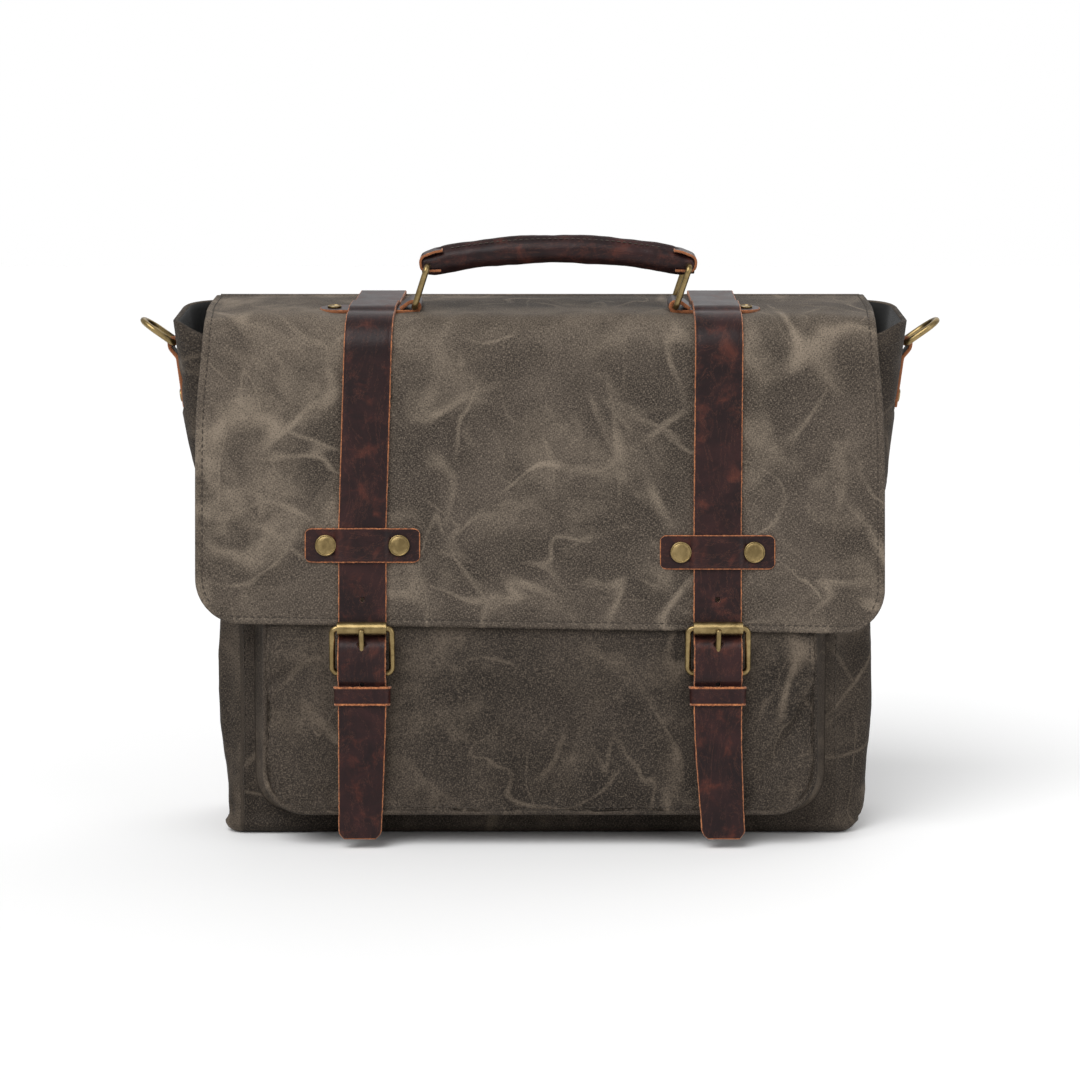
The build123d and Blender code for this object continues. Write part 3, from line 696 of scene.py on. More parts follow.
def raw_edge(name, rest=True):
    """Cut leather edge: fibrous orange tan."""
    n = Nodes(name, rest)
    fibre = n.noise(700, 5, 0.7, 0.5)
    patch = n.noise(120, 4, 0.6)
    colour = n.mix(n.ramp(fibre, 0.35, 0.65), (0.17, 0.053, 0.021), (0.46, 0.17, 0.062))
    colour = n.mix(n.ramp(patch, 0.5, 0.7, 0.0, 0.7), colour, (0.08, 0.028, 0.016))
    n.bump(((fibre, 0.8, 0.0005),))
    return n.finish(colour, 0.85, Specular_IOR_Level=0.25, Sheen_Weight=0.2)


def antique_brass(name, rest=True):
    """Worn antique brass with a darker, rougher patina in patches."""
    n = Nodes(name, rest)
    cloud = n.noise(180, 5, 0.6, 0.6)
    fine = n.noise(1400, 3, 0.6)
    colour = n.mix(n.ramp(cloud, 0.36, 0.66), (0.215, 0.155, 0.068), (0.32, 0.235, 0.108))
    colour = n.mix(n.ramp(fine, 0.5, 0.8, 0.0, 0.35), colour, (0.11, 0.075, 0.032))
    rough = n.math("ADD", n.math("MULTIPLY", cloud, 0.22), 0.24)
    n.bump(((fine, 0.12, 0.0001), (cloud, 0.08, 0.0004)))
    return n.finish(colour, rough, Metallic=1.0)


def dark_cloth(name, colour_low, colour_high, rest=True):
    """Plain woven lining cloth."""
    n = Nodes(name, rest)
    weave = n.math("MULTIPLY", n.wave(420, "X", 0.3), n.wave(420, "Y", 0.3))
    cloud = n.noise(30, 4, 0.5)
    colour = n.mix(n.math("MULTIPLY", n.math("ADD", weave, cloud), 0.5), colour_low, colour_high)
    n.bump(((weave, 0.4, 0.0003), (cloud, 0.3, 0.001)))
    return n.finish(colour, 0.85, Sheen_Weight=0.15, Specular_IOR_Level=0.25)


def thread(name):
    """Waxed sewing thread."""
    n = Nodes(name)
    twist = n.wave(900, "DIAGONAL", 0.2)
    colour = n.mix(twist, (0.016, 0.012, 0.008), (0.066, 0.05, 0.036))
    n.bump(((twist, 0.5, 0.0002),))
    return n.finish(colour, 0.6, Specular_IOR_Level=0.4)


def studio_floor(name):
    """Plain pale floor."""
    n = Nodes(name, rest=False)
    colour = n.mix(n.noise(2.0, 2, 0.5), (0.86, 0.86, 0.86), (0.9, 0.9, 0.9))
    return n.finish(colour, 0.9, Specular_IOR_Level=0.1)


# The flap's canvas carries painted light: paler on its left and a painted highlight along its bend.
CANVAS_FLAP = waxed_canvas(
    "waxed_canvas_flap", (0.031, 0.0247, 0.0198), (0.078, 0.0625, 0.05), (0.265, 0.214, 0.162), painted_light_share=0.5
)
CANVAS_BODY = waxed_canvas(
    "waxed_canvas_body", (0.0175, 0.014, 0.0115), (0.046, 0.0365, 0.0292), (0.16, 0.126, 0.094), 1.0
)
LINING = dark_cloth("lining_cloth", (0.006, 0.006, 0.006), (0.03, 0.029, 0.027))
PADDING = dark_cloth("divider_cloth", (0.012, 0.012, 0.012), (0.05, 0.047, 0.043))
STRAP_LEATHER = leather("strap_leather")
CAD_LEATHER = leather("strap_leather_cad", rest=False)
RAW_EDGE = raw_edge("raw_edge")
LEATHER_SKINS = [STRAP_LEATHER, RAW_EDGE]
BRASS = antique_brass("antique_brass")
CAD_BRASS = antique_brass("antique_brass_cad", rest=False)
THREAD = thread("thread")
FLOOR = studio_floor("studio_floor")


def declare(obj, slot, body, *nodes):
    """Hide the CAD nodes a piece stands for and attach it to the body it rides on. The slot argument is not
    used.
    """
    if nodes:
        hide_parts(*nodes)
    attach(obj, body)


def dress(node, material):
    """Give a CAD node that stays visible its material."""
    obj = frame["nodes"][node]
    obj.data.materials.clear()
    obj.data.materials.append(material)


# ---------------------------------------------------------------- flap
def flap_track(m):
    """Line of the flap, m above its inner face, from the back seam to the lower edge."""
    points = (top_yz(-0.4, m), bend_corner(m), front_yz(FLAP_BOTTOM - 2 * SKEW, FLAP_IN + m))
    return Track(points, [FLAP_INNER_BEND + m])


def hang(across, t):
    """The flap hangs a little lower on the right than on the left."""
    return t + SKEW * (1 + across / FLAP_HALF) * smooth(t, 40, 240)


def drawn_in(t):
    """Share of the flap's width: its sides are drawn in a little round the bend."""
    return 1 - 0.022 * np.exp(-(((t - 100) / 38) ** 2))


HEM = 4.2
SKEW = 3.2
# where each long fold starts across and down the flap, its lean, length and width
DRAG_FOLDS = (
    (-60.0, 95.0, 0.9, 70.0, 4.5),
    (-35.0, 120.0, 0.75, 90.0, 5.0),
    (-150.0, 110.0, -0.5, 75.0, 5.0),
    (-172.0, 130.0, 0.45, 80.0, 4.5),
    (40.0, 100.0, -0.6, 65.0, 4.0),
    (60.0, 150.0, 1.0, 60.0, 4.5),
    (150.0, 105.0, 0.7, 60.0, 4.5),
    (165.0, 160.0, -0.7, 70.0, 4.5),
    (-10.0, 190.0, 1.1, 75.0, 4.5),
)


def bend_over_fold(obj):
    """Bake a piece's transform into its mesh."""
    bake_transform(obj)
    return obj


def smooth(value, low, high):
    """0 below low, 1 above high, smooth between."""
    share = np.clip((value - low) / (high - low), 0, 1)
    return share * share * (3 - 2 * share)


def strap_room(x, near=15.0, far=34.0):
    """0 under a buckle strap, rising to 1 away from it."""
    return smooth(np.abs(np.abs(x) - STRAP_X), near, far)


def flap_relief(across, t, distance):
    """Folds of the flap: proud between the straps, held down under them, hem pressed flat."""
    points = np.stack([across, t, t * 0], -1)
    folds = 1.0 + canvas_relief(points, 1.0, 2.0)
    folds += 1.1 * drag_folds(across, t)
    calm = smooth(distance, 3, 26)
    held = 0.12 + 0.88 * strap_room(across)
    back = smooth(t, 4, 30)
    groove = -0.42 * np.exp(-(((distance - HEM) / 0.9) ** 2))
    hem = 0.3 * np.exp(-(((distance - 1.8) / 1.4) ** 2))
    wave = 0.5 * noise_at(points * (1, 0.5, 1), 60, 21) * (1 - calm)
    return np.clip(folds, -0.3, 3.0) * calm * held * back + groove + hem + wave


def drag_folds(across, t):
    """Long slanting folds that run down and outwards from the handle's anchors."""
    total = np.zeros(np.shape(across))
    for x0, t0, lean, reach, wide in DRAG_FOLDS:
        along = (across - x0) * math.sin(lean) + (t - t0) * math.cos(lean)
        aside = (across - x0) * math.cos(lean) - (t - t0) * math.sin(lean)
        fade = smooth(along, -8, 14) * (1 - smooth(along, reach * 0.5, reach))
        total += np.exp(-((aside / wide) ** 2)) * fade
    return total


def build_flap():
    """Canvas flap with its lining, hem stitches and rounded corners."""
    middle = CLOTH / 2
    track = flap_track(middle)
    end = track.length - 2 * SKEW
    corners = round_corners(0, end, FLAP_HALF, FLAP_CORNER)
    options = {
        "end": end,
        "hang": hang,
        "half_at": lambda t: corners(t) * drawn_in(t),
        "step": 3.0,
        "relief": flap_relief,
        "round_edge": 1.6,
        "edge_share": 0.25,
        "indices": (0, 1, 0),
    }
    flap = sheet("flap", track, 2 * FLAP_HALF, CLOTH, [CANVAS_FLAP, LINING], options)
    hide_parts("flap_top_canvas", "flap_front_canvas", "flap_top_lining", "flap_front_lining")
    bend_over_fold(flap)
    row = flap_hem_stitches(track)
    bend_over_fold(row)


def build_back_seam():
    """Rolled canvas seam on the hinge line, which closes the gap when the flap is open."""
    x = np.linspace(-FLAP_HALF + 3, FLAP_HALF - 3, 90)
    line = np.stack([x, x * 0 + HINGE[1], x * 0 + HINGE[2]], 1)
    roll = tube("back_seam_roll", line, BACK_SEAM_RADIUS, CANVAS_FLAP)
    declare(roll, "waxed_canvas", "bag")


def flap_hem_stitches(track):
    """Stitches 4 mm inside the flap's two sides and lower edge."""
    inset = HEM
    half = FLAP_HALF - inset
    end = track.length - 2 * SKEW - inset
    radius = FLAP_CORNER - inset
    plan = Track(((-half, 2), (-half, end), (half, end), (half, 2)), [radius, radius])
    t = plan.p[:, 1]
    across = plan.p[:, 0] * drawn_in(t)
    distance = np.full(len(t), inset)
    lift = flap_relief(across, t, distance) + CLOTH / 2
    point, normal = track.at(hang(across, t))
    y = point[:, 0] + normal[:, 0] * lift
    z = point[:, 1] + normal[:, 1] * lift
    line = np.stack([across, y, z], 1)
    normals = np.stack([across * 0, normal[:, 0], normal[:, 1]], 1)
    row = stitches("flap_stitches", line, normals, THREAD, STITCH, STITCH_PITCH, 0.42)
    return row


# ---------------------------------------------------------------- buckle straps
def strap_track():
    """Middle line of a strap: over the top, down the flap, round the heel bar, to the tip."""
    m = CLOTH + STRAP / 2
    lift = m + LEATHER
    flat = FLAP_IN + m
    over_heel = HEEL_N + LOOP_OUT + STRAP_GAP + STRAP / 2
    on_chape = LEATHER * 3 + CHAPE_GAP + STRAP / 2
    rise = HUMP
    stops = (
        (top_yz(-0.4, m), None),
        (top_yz(ANCHOR_Y + rise + 7, m), 9),
        (top_yz(ANCHOR_Y + rise + 1, lift), 9),
        (top_yz(ANCHOR_Y - rise - 1, lift), 9),
        (top_yz(ANCHOR_Y - rise - 5, m), 3),
        (bend_corner(m), FLAP_INNER_BEND + m),
        (front_yz(ROLLER_V - 2.9, flat), 4),
        (front_yz(ROLLER_V - 9.7, over_heel - 0.4), 4),
        (front_yz(HEEL_V + 6, over_heel + 0.2), 6),
        (front_yz(HEEL_V - 2.3, over_heel), 3),
        (front_yz(HEEL_V - 6.3, on_chape), 2.5),
        (front_yz(52, on_chape), 30),
        (front_yz(24, 2.3), 30),
        (front_yz(STRAP_TIP, 2.1), None),
    )
    return Track([p for p, _ in stops], [r for _, r in stops[1:-1]])


def strap_share(track):
    """Share of a strap's half width: the tail narrows and its tip has cut corners."""
    tip = track.length

    def share(t):
        left = tip - t
        narrow = 1 - 0.1 * min(max((TAPER_FROM - left) / 70, 0), 1)
        if left < TIP_CUT:
            narrow -= (1 - left / TIP_CUT) ** 1.5 * 0.26
        return narrow

    return share


def leather_options(extra):
    """Settings that every leather strip shares: square cut edges with a raw band."""
    options = {
        "round_edge": 0.7,
        "edge_share": 0.62,
        "edge_band": 0.62,
        "indices": (0, 0, 1),
        "fray": 0.35,
        "lines": (0.3, 0.6, 1.2, 2.2),
        "step": 1.8,
    }
    options.update(extra)
    return options


def strap_relief(seed):
    """Slight waviness and curl of a worn strap."""

    def relief(across, t, distance):
        points = np.stack([across + seed * 300, t, t * 0], -1)
        wave = noise_at(points, 55, seed) * 0.35 + noise_at(points, 14, seed + 2) * 0.1
        press = -0.12 * np.exp(-(((distance - 1.6) / 0.8) ** 2))
        return wave * np.clip(distance / 3, 0.3, 1) + press

    return relief


def cut_holes(obj, centres, radius, depth, matrix):
    """Punch round holes through a piece."""
    for number, (x, y, z) in enumerate(centres):
        profile = ((radius, -depth), (radius, depth))
        cutter = lathe("cutter", profile, moved(matrix, x, y, z), RAW_EDGE, 16)
        modifier = obj.modifiers.new("hole%d" % number, "BOOLEAN")
        modifier.operation = "DIFFERENCE"
        modifier.object = cutter
        modifier.solver = "EXACT"
        apply_modifiers(obj)
        bpy.data.objects.remove(cutter)


def apply_modifiers(obj):
    """Replace a piece's mesh by the evaluated one."""
    bpy.context.view_layer.update()
    graph = bpy.context.evaluated_depsgraph_get()
    mesh = bpy.data.meshes.new_from_object(obj.evaluated_get(graph))
    obj.modifiers.clear()
    obj.data = mesh


def strap_sway(track, sign):
    """Sideways drift of a strap: the left one leans in at the top, the right tail leans out."""
    top, tail = {-1: (6.5, -1.2), 1: (2.0, 2.8)}[sign]
    tab = track.where(front_yz(186, FLAP_IN + CLOTH + STRAP / 2))
    tail_from = track.length - 72

    def sway(t):
        return top * (1 - t / tab) * (t < tab) + tail * smooth(t, tail_from, track.length + 25) * 1.6

    return sway


def build_strap(side, sign):
    """One long strap with its punched holes."""
    track = strap_track()
    options = leather_options(
        {
            "half_at": strap_share(track),
            "relief": strap_relief(sign),
            "x": sign * STRAP_X,
            "seed": 4 + sign,
            "sway": strap_sway(track, sign),
        }
    )
    strap = sheet("strap_" + side, track, STRAP_WIDTH, STRAP, LEATHER_SKINS, options)
    holes = [(sign * STRAP_X, v, 8.0) for v in PLAIN_HOLES]
    cut_holes(strap, holes, HOLE_RADIUS, 10, FRONT)
    slot = [(sign * STRAP_X, ROLLER_V - 9.0, 10.0)]
    cut_holes(strap, slot, PRONG_HOLE_RADIUS, 6, FRONT)
    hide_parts("strap_top_" + side, "strap_front_" + side)
    bend_over_fold(strap)


def build_cross_tab(side, sign):
    """Riveted leather bridge across a strap."""
    low, over = LEATHER / 2, LEATHER / 2 + STRAP
    half = TAB_HALF
    points = ((-half, low), (-16.6, low), (-13.2, over), (13.2, over), (16.6, low), (half, low))
    track = Track(points, [2.5, 3.5, 3.5, 2.5])
    drop = TAB_DROP if sign > 0 else 0.0
    centre = moved(FRONT, sign * STRAP_X, TAB_V - drop, FLAP_IN + CLOTH)

    def relief(across, t, distance):
        points3 = np.stack([across + sign * 90, t, t * 0], -1)
        crown = 0.25 * np.clip(distance / 6, 0, 1)
        return crown + noise_at(points3, 12, 3 + sign) * 0.12

    options = leather_options(
        {
            "half_at": round_corners(0, track.length, 10.0, 4.0, both=True),
            "matrix": centre,
            "order": (1, 0, 2),
            "relief": relief,
            "seed": 9 + sign,
            "step": 1.4,
        }
    )
    tab = sheet("cross_tab_" + side + "_leather", track, TAB_WIDTH, LEATHER, LEATHER_SKINS, options)
    declare(tab, "strap_leather", "flap_front", "cross_tab_" + side)
    caps = []
    for x in (-TAB_RIVET_X, TAB_RIVET_X):
        spot = moved(centre, x, 0, LEATHER + 0.1)
        caps.append(lathe("rivet_cap", rivet_profile(*TAB_RIVET), spot, BRASS))
    pair = join("cross_tab_rivets_" + side + "_caps", caps)
    declare(pair, "antique_brass", "flap_front", "cross_tab_rivets_" + side)


def rivet_profile(radius, height):
    """Flat-topped rivet cap with a rolled rim and a faintly dished face."""
    shares = (
        (0.93, 0.0), (0.985, 0.15), (1.0, 0.4), (0.995, 0.7), (0.97, 0.9), (0.93, 1.0), (0.9, 0.99),
        (0.875, 0.88), (0.86, 0.66), (0.84, 0.62), (0.82, 0.66), (0.5, 0.72), (0.2, 0.76), (0.04, 0.76),
    )
    return [(radius * r, height * h) for r, h in shares]


def join(name, objects):
    """One object from several."""
    bpy.ops.object.select_all(action="DESELECT")
    for obj in objects:
        obj.select_set(True)
    bpy.context.view_layer.objects.active = objects[0]
    bpy.ops.object.join()
    objects[0].name = name
    return objects[0]


def build_keeper(side, sign):
    """Leather loop round the strap and chape."""
    box_low, box_high = node_box("keeper_" + side)
    half_x = (box_high[0] - box_low[0]) / 2 - 0.8
    low, high = LEATHER - 0.1 - 0.8, LEATHER * 3 + STRAP + 0.2 + 0.8
    corners = ((0, low), (half_x, low), (half_x, high), (-half_x, high), (-half_x, low), (0, low))
    track = Track(corners, [2.0, 2.6, 2.6, 2.0])
    centre = moved(FRONT, sign * STRAP_X, KEEPER_V, 0)

    def relief(across, t, distance):
        points3 = np.stack([across + sign * 60, t, t * 0], -1)
        flare = 0.6 * smooth(across, 2.5, 5.5)
        return noise_at(points3, 9, 6 + sign) * 0.12 + flare

    options = leather_options(
        {
            "matrix": centre,
            "order": (1, 0, 2),
            "relief": relief,
            "step": 1.2,
            "seed": 12 + sign,
            "open_ends": True,
            "edge_band": 1.25,
        }
    )
    loop = sheet("keeper_" + side + "_loop", track, KEEPER_WIDTH, KEEPER_THICK, LEATHER_SKINS, options)
    declare(loop, "strap_leather", "keeper_" + side, "keeper_" + side)


# ---------------------------------------------------------------- handle
def handle_ends():
    """x of the two upper ring bars and their height, in the TOP frame."""
    shift = RING_REACH * math.sin(RING_LEAN)
    height = CLOTH + LOOP_OUT + RING_REACH * math.cos(RING_LEAN)
    return -ANCHOR_X[-1] + shift, ANCHOR_X[1] + shift, height


def handle_line(trim, count):
    """Points of the grip's arched middle line, in the TOP frame."""
    left, right, height = handle_ends()
    middle, half = (left + right) / 2, (right - left) / 2
    x = np.linspace(left + trim, right - trim, count)
    z = height + 2.2 + GRIP_SAG * np.maximum(1 - ((x - middle) / (half - 7)) ** 2, -0.1)
    return np.stack([x, x * 0 + ANCHOR_Y, z], 1)


def build_grip():
    """Rolled leather grip with a sewn welt along its top and flattened ends."""
    count, sides = 110, 40
    line = handle_line(-3.4, count)
    run = np.append(0, np.cumsum(np.linalg.norm(np.diff(line, axis=0), axis=1)))
    verts, rest = [], []
    for i, point in enumerate(line):
        to_end = min(run[i], run[-1] - run[i])
        flat = math.exp(-((to_end / 8.0) ** 2))
        tall = (GRIP + 0.25 * math.sin(i * 0.21)) * (1 - 0.2 * flat)
        wide = GRIP * (1 + 0.02 * flat)
        drop = 0.6 * flat
        for k in range(sides):
            angle = 2 * math.pi * k / sides
            welt = 1.5 * math.exp(-((math.degrees(min(angle, 2 * math.pi - angle)) / 16) ** 2)) * (1 - flat)
            ripple = noise.noise(Vector((i * 0.22, angle * 2, 3.0))) * 0.25
            y = (wide + ripple) * math.sin(angle)
            z = (tall + welt + ripple) * math.cos(angle) - 0.5 - drop
            verts.append(point + (0, y, z))
            rest.append((GRIP * angle, run[i], 0))
    faces = []
    for i in range(count - 1):
        for k in range(sides):
            m = (k + 1) % sides
            faces.append((i * sides + k, i * sides + m, (i + 1) * sides + m, (i + 1) * sides + k))
    last = (count - 1) * sides
    faces += [tuple(range(sides)), tuple(range(last, last + sides))]
    grip = make_object("handle_grip", place(TOP, verts), faces, [STRAP_LEATHER], None, rest)
    declare(grip, "strap_leather", "handle", "handle_wrap", "handle_core")
    for name, offset in (("front", -1), ("back", 1)):
        seam = line[11:-11] + (0, offset * 3.4, GRIP - 1.05)
        tilt = np.tile((0, offset * 0.45, 0.89), (len(seam), 1)) @ TOP[:3, :3].T
        row = stitches("grip_stitches_" + name, place(TOP, seam), tilt, THREAD, 2.4, 3.4, 0.34)
        declare(row, "strap_leather", "handle")


def build_handle_loop(side, x, inward):
    """Leather that turns round a ring's upper bar and runs into the grip's end."""
    height = handle_ends()[2]
    r = LOOP_OUT - LEATHER / 2
    top = height + 2.2 + GRIP - 1.6
    points = (
        (x + inward * 9, top + 0.9),
        (x + inward * 4, top),
        (x - inward * (r + 1.6), top - 3.4),
        (x - inward * (r + 0.6), height - r),
        (x + inward * 4, height - r + 0.1),
        (x + inward * 8, height + 2.2 - GRIP + 2.6),
    )
    track = Track(points, [5, 4.2, r, 5])
    place_on_top = moved(TOP, 0, ANCHOR_Y, 0)
    options = leather_options({"matrix": place_on_top, "order": (1, 0, 2), "step": 1.0, "seed": 15 + x})
    loop = sheet("handle_loop_" + side + "_leather", track, LOOP_WIDTH, LOOP_THICK, LEATHER_SKINS, options)
    declare(loop, "strap_leather", "handle", "handle_loop_" + side)


def build_anchor_tab(side, sign):
    """Leather tab folded round a handle ring and run out under the strap."""
    base = CLOTH + LEATHER / 2
    high = CLOTH + LOOP_OUT * 2 - LEATHER / 2
    r = LOOP_OUT - LEATHER / 2
    bar = ANCHOR_X[sign]
    near = bar - r
    points = (
        (ANCHOR_TIP, base),
        (near, base),
        (near, high),
        (bar + 2.5, high),
        (bar + 8.5, base + LEATHER * 0.75),
    )
    points = [(sign * x, m) for x, m in points]
    track = Track(points, [r - 0.05, r - 0.05, 4])
    end = track.length

    def share(t):
        if t < 10:
            return math.sqrt(max(1 - ((10 - t) / 10) ** 2, 0.01))
        return 1.0

    options = leather_options(
        {
            "half_at": share,
            "matrix": moved(TOP, 0, ANCHOR_Y, 0),
            "order": (1, 0, 2),
            "step": 1.2,
            "end": end,
            "seed": 20,
        }
    )
    tab = sheet("anchor_tab_" + side + "_leather", track, ANCHOR_WIDTH, LEATHER, LEATHER_SKINS, options)
    declare(tab, "strap_leather", "flap_top", "anchor_tab_" + side)
    spot = moved(TOP, sign * ANCHOR_RIVET_X, ANCHOR_Y, CLOTH + LEATHER)
    cap = lathe("anchor_rivet_" + side + "_cap", rivet_profile(*ANCHOR_RIVET), spot, BRASS)
    declare(cap, "antique_brass", "flap_top", "anchor_rivet_" + side)


# ---------------------------------------------------------------- side rings and tabs
def side_matrix(sign):
    """Frame on a gusset beside its ring: x to the back, y up the gusset, z outwards."""
    heights = list(RIM_FLARE)[-2:]
    rate = (RIM_FLARE[heights[1]] - RIM_FLARE[heights[0]]) / (heights[1] - heights[0])
    z = SIDE_TAB_Z
    x = RIM_FLARE[heights[0]] + rate * (z - heights[0])
    flare = math.atan(rate)
    up = (sign * math.sin(flare), 0, math.cos(flare))
    return frame_matrix((sign * x, (BACK_Y + FRONT_Y) / 2, z), (0, sign, 0), up)


def build_side_tab(side, sign):
    """Leather tab that holds a side ring on the gusset."""
    r = LOOP_OUT - LEATHER / 2
    base = LEATHER / 2
    foot = SIDE_TAB_FOOT
    top = base + 2 * r
    doubled = base + LEATHER
    points = ((foot, base), (r, base), (r, top), (-3, top), (-9, doubled), (foot, doubled))
    track = Track(points, [r - 0.05, r - 0.05, 4, 4])
    matrix = side_matrix(sign)
    options = leather_options({"matrix": matrix, "order": (0, 1, 2), "step": 1.2, "seed": 30 + sign})
    tab = sheet("side_tab_" + side + "_leather", track, SIDE_TAB_WIDTH, LEATHER, LEATHER_SKINS, options)
    declare(tab, "strap_leather", "bag", "side_tab_" + side)
    spot = moved(matrix, 0, SIDE_TAB_RIVET, 2 * LEATHER)
    cap = lathe("side_tab_rivet_" + side + "_cap", rivet_profile(*SIDE_RIVET), spot, BRASS)
    declare(cap, "antique_brass", "bag", "side_tab_rivet_" + side)


# ---------------------------------------------------------------- cloth
def grid_faces(rows, columns, closed=False):
    """Quads of a grid, joined round when closed."""
    last = columns if closed else columns - 1
    faces = []
    for r in range(rows - 1):
        for c in range(last):
            d = (c + 1) % columns
            faces.append((r * columns + c, r * columns + d, (r + 1) * columns + d, (r + 1) * columns + c))
    return faces


CLOTH_SETTINGS = {
    "quality": 6,
    "mass": 0.25,
    "air_damping": 2.0,
    "tension_stiffness": 25,
    "compression_stiffness": 25,
    "shear_stiffness": 12,
    "bending_stiffness": 1.2,
}


def settle(grid, pins, closed, grow, pressure, frames):
    """Let a grid of cloth (mm), cut a little too large and pinned at its seams, fall into folds."""
    rows, columns = grid.shape[:2]
    mesh = bpy.data.meshes.new("settling")
    mesh.from_pydata((grid.reshape(-1, 3) * MM).tolist(), [], grid_faces(rows, columns, closed))
    obj = bpy.data.objects.new("settling", mesh)
    bpy.context.scene.collection.objects.link(obj)
    group = obj.vertex_groups.new(name="pins")
    for weight in np.unique(pins):
        if weight > 0:
            group.add(np.flatnonzero(pins.ravel() == weight).tolist(), float(weight), "REPLACE")
    cloth = obj.modifiers.new("cloth", "CLOTH")
    cloth.point_cache.frame_end = frames
    setting = cloth.settings
    for key, value in CLOTH_SETTINGS.items():
        setattr(setting, key, value)
    setting.vertex_group_mass = "pins"
    setting.shrink_min = -grow
    setting.use_pressure = True
    setting.uniform_pressure_force = pressure
    setting.effector_weights.gravity = 0
    scene = bpy.context.scene
    for step in range(1, frames + 1):
        scene.frame_set(step)
    graph = bpy.context.evaluated_depsgraph_get()
    result = obj.evaluated_get(graph).to_mesh()
    data = np.empty(rows * columns * 3)
    result.vertices.foreach_get("co", data)
    obj.evaluated_get(graph).to_mesh_clear()
    scene.frame_set(1)
    bpy.data.objects.remove(obj)
    return data.reshape(rows, columns, 3) / MM


def soft_cap(value, low, high):
    """Value eased so that it stays between low (negative) and high (positive)."""
    high = np.maximum(high, 1e-3)
    low = np.minimum(low, -1e-3)
    return np.where(value > 0, high * np.tanh(value / high), low * np.tanh(value / low))


# ---------------------------------------------------------------- bag body
def half_width(z):
    """Half width of the bag body at height z."""
    return np.interp(z, list(RIM_FLARE), list(RIM_FLARE.values()))


def rim_height(y):
    """Height of the rim at depth y: just under the flap's slope and front bend."""
    slope = math.tan(TOP_SLOPE)
    line = TOP_INNER_Z - 0.9 - (HINGE[1] - y) * slope
    centre = np.array(bend_centre())
    radius = FLAP_INNER_BEND - 0.9
    inside = np.clip(radius**2 - (y - centre[0]) ** 2, 0, None)
    arc = centre[1] + np.sqrt(inside)
    return np.where(y < centre[0] - radius * math.sin(TOP_SLOPE), np.minimum(arc, line), line)


def bend_centre():
    """Centre of the flap's bend in the y-z plane."""
    corner = np.array(bend_corner(0))
    reach = FLAP_INNER_BEND / math.cos((math.pi / 2 - TOP_SLOPE - FRONT_LEAN) / 2)
    back = math.cos(TOP_SLOPE) - math.sin(FRONT_LEAN)
    up = math.sin(TOP_SLOPE) - math.cos(FRONT_LEAN)
    inward = np.array((back, up))
    return corner + inward / np.linalg.norm(inward) * reach


def plan_ring(half, low_y, high_y, radius, counts):
    """Closed plan outline of the body: points and their outward normals."""
    front_count, side_count, arc_count = counts
    points, normals = [], []

    def run(a, b, count, normal):
        for k in range(count):
            points.append(a + (b - a) * k / count)
            normals.append(normal)

    def arc(centre, start, count):
        for k in range(count):
            angle = start + math.pi / 2 * k / count
            normal = np.array((math.cos(angle), math.sin(angle)))
            points.append(centre + normal * radius)
            normals.append(normal)

    inner = half - radius
    front, back = low_y + radius, high_y - radius
    run(np.array((-inner, low_y)), np.array((inner, low_y)), front_count, np.array((0.0, -1.0)))
    arc(np.array((inner, front)), -math.pi / 2, arc_count)
    run(np.array((half, front)), np.array((half, back)), side_count, np.array((1.0, 0.0)))
    arc(np.array((inner, back)), 0, arc_count)
    run(np.array((inner, high_y)), np.array((-inner, high_y)), front_count, np.array((0.0, 1.0)))
    arc(np.array((-inner, back)), math.pi / 2, arc_count)
    run(np.array((-half, back)), np.array((-half, front)), side_count, np.array((-1.0, 0.0)))
    arc(np.array((-inner, front)), math.pi, arc_count)
    return np.array(points), np.array(normals)


def corner_radius(z):
    """Plan corner radius: tight at the base, softer at the mouth."""
    return np.interp(z, (0, 60, 318), (14, 17, 24))


BODY_COUNTS = (112, 22, 9)
BODY_ROWS = 88
BASE_LEVELS = (0.0, 0.35, 1.2, 2.6, 4.6, 7.0)
TURN_ROWS = len(BASE_LEVELS)
BASE_ROUND = 9.0


def body_rings():
    """Outer surface of the bag body as rows of points, with the plan normals."""
    tall = node_box("back_panel")[1][2]
    levels = np.concatenate([BASE_LEVELS, np.linspace(10, tall, BODY_ROWS)]) / tall
    rings, outward = [], []
    for share in levels:
        nominal = share * tall
        edge = max(0.0, BASE_ROUND - nominal)
        inset = BASE_ROUND - math.sqrt(BASE_ROUND**2 - edge**2)
        half = float(half_width(nominal)) - inset
        radius = max(float(corner_radius(nominal)) - inset, 3)
        ring, normals = plan_ring(half, FRONT_Y + inset, BACK_Y - inset, radius, BODY_COUNTS)
        z = share * rim_height(ring[:, 1])
        ring[:, 0] *= (half_width(z) - inset) / half
        rings.append(np.column_stack([ring, z]))
        outward.append(np.column_stack([normals, normals[:, 0] * 0]))
    return np.array(rings), np.array(outward)


def seam_columns():
    """Columns where the gussets are sewn to the front and back panels."""
    front, side, turn = BODY_COUNTS
    return (2, front - 2, front + 2 * turn + side + 2, 2 * front + 2 * turn + side - 2)


def body_pins(rings):
    """How firmly each point of the body is held while its cloth settles."""
    pins = np.zeros(rings.shape[:2])
    for column in seam_columns():
        pins[:, column] = 0.12
    pins[: TURN_ROWS - 1] = 1.0
    pins[-2:] = 1.0
    middle = (BACK_Y + FRONT_Y) / 2
    tab = (np.abs(rings[..., 1] - middle) < 13) & (rings[..., 2] > 244) & (np.abs(rings[..., 0]) > 150)
    pins[tab] = 1.0
    return pins


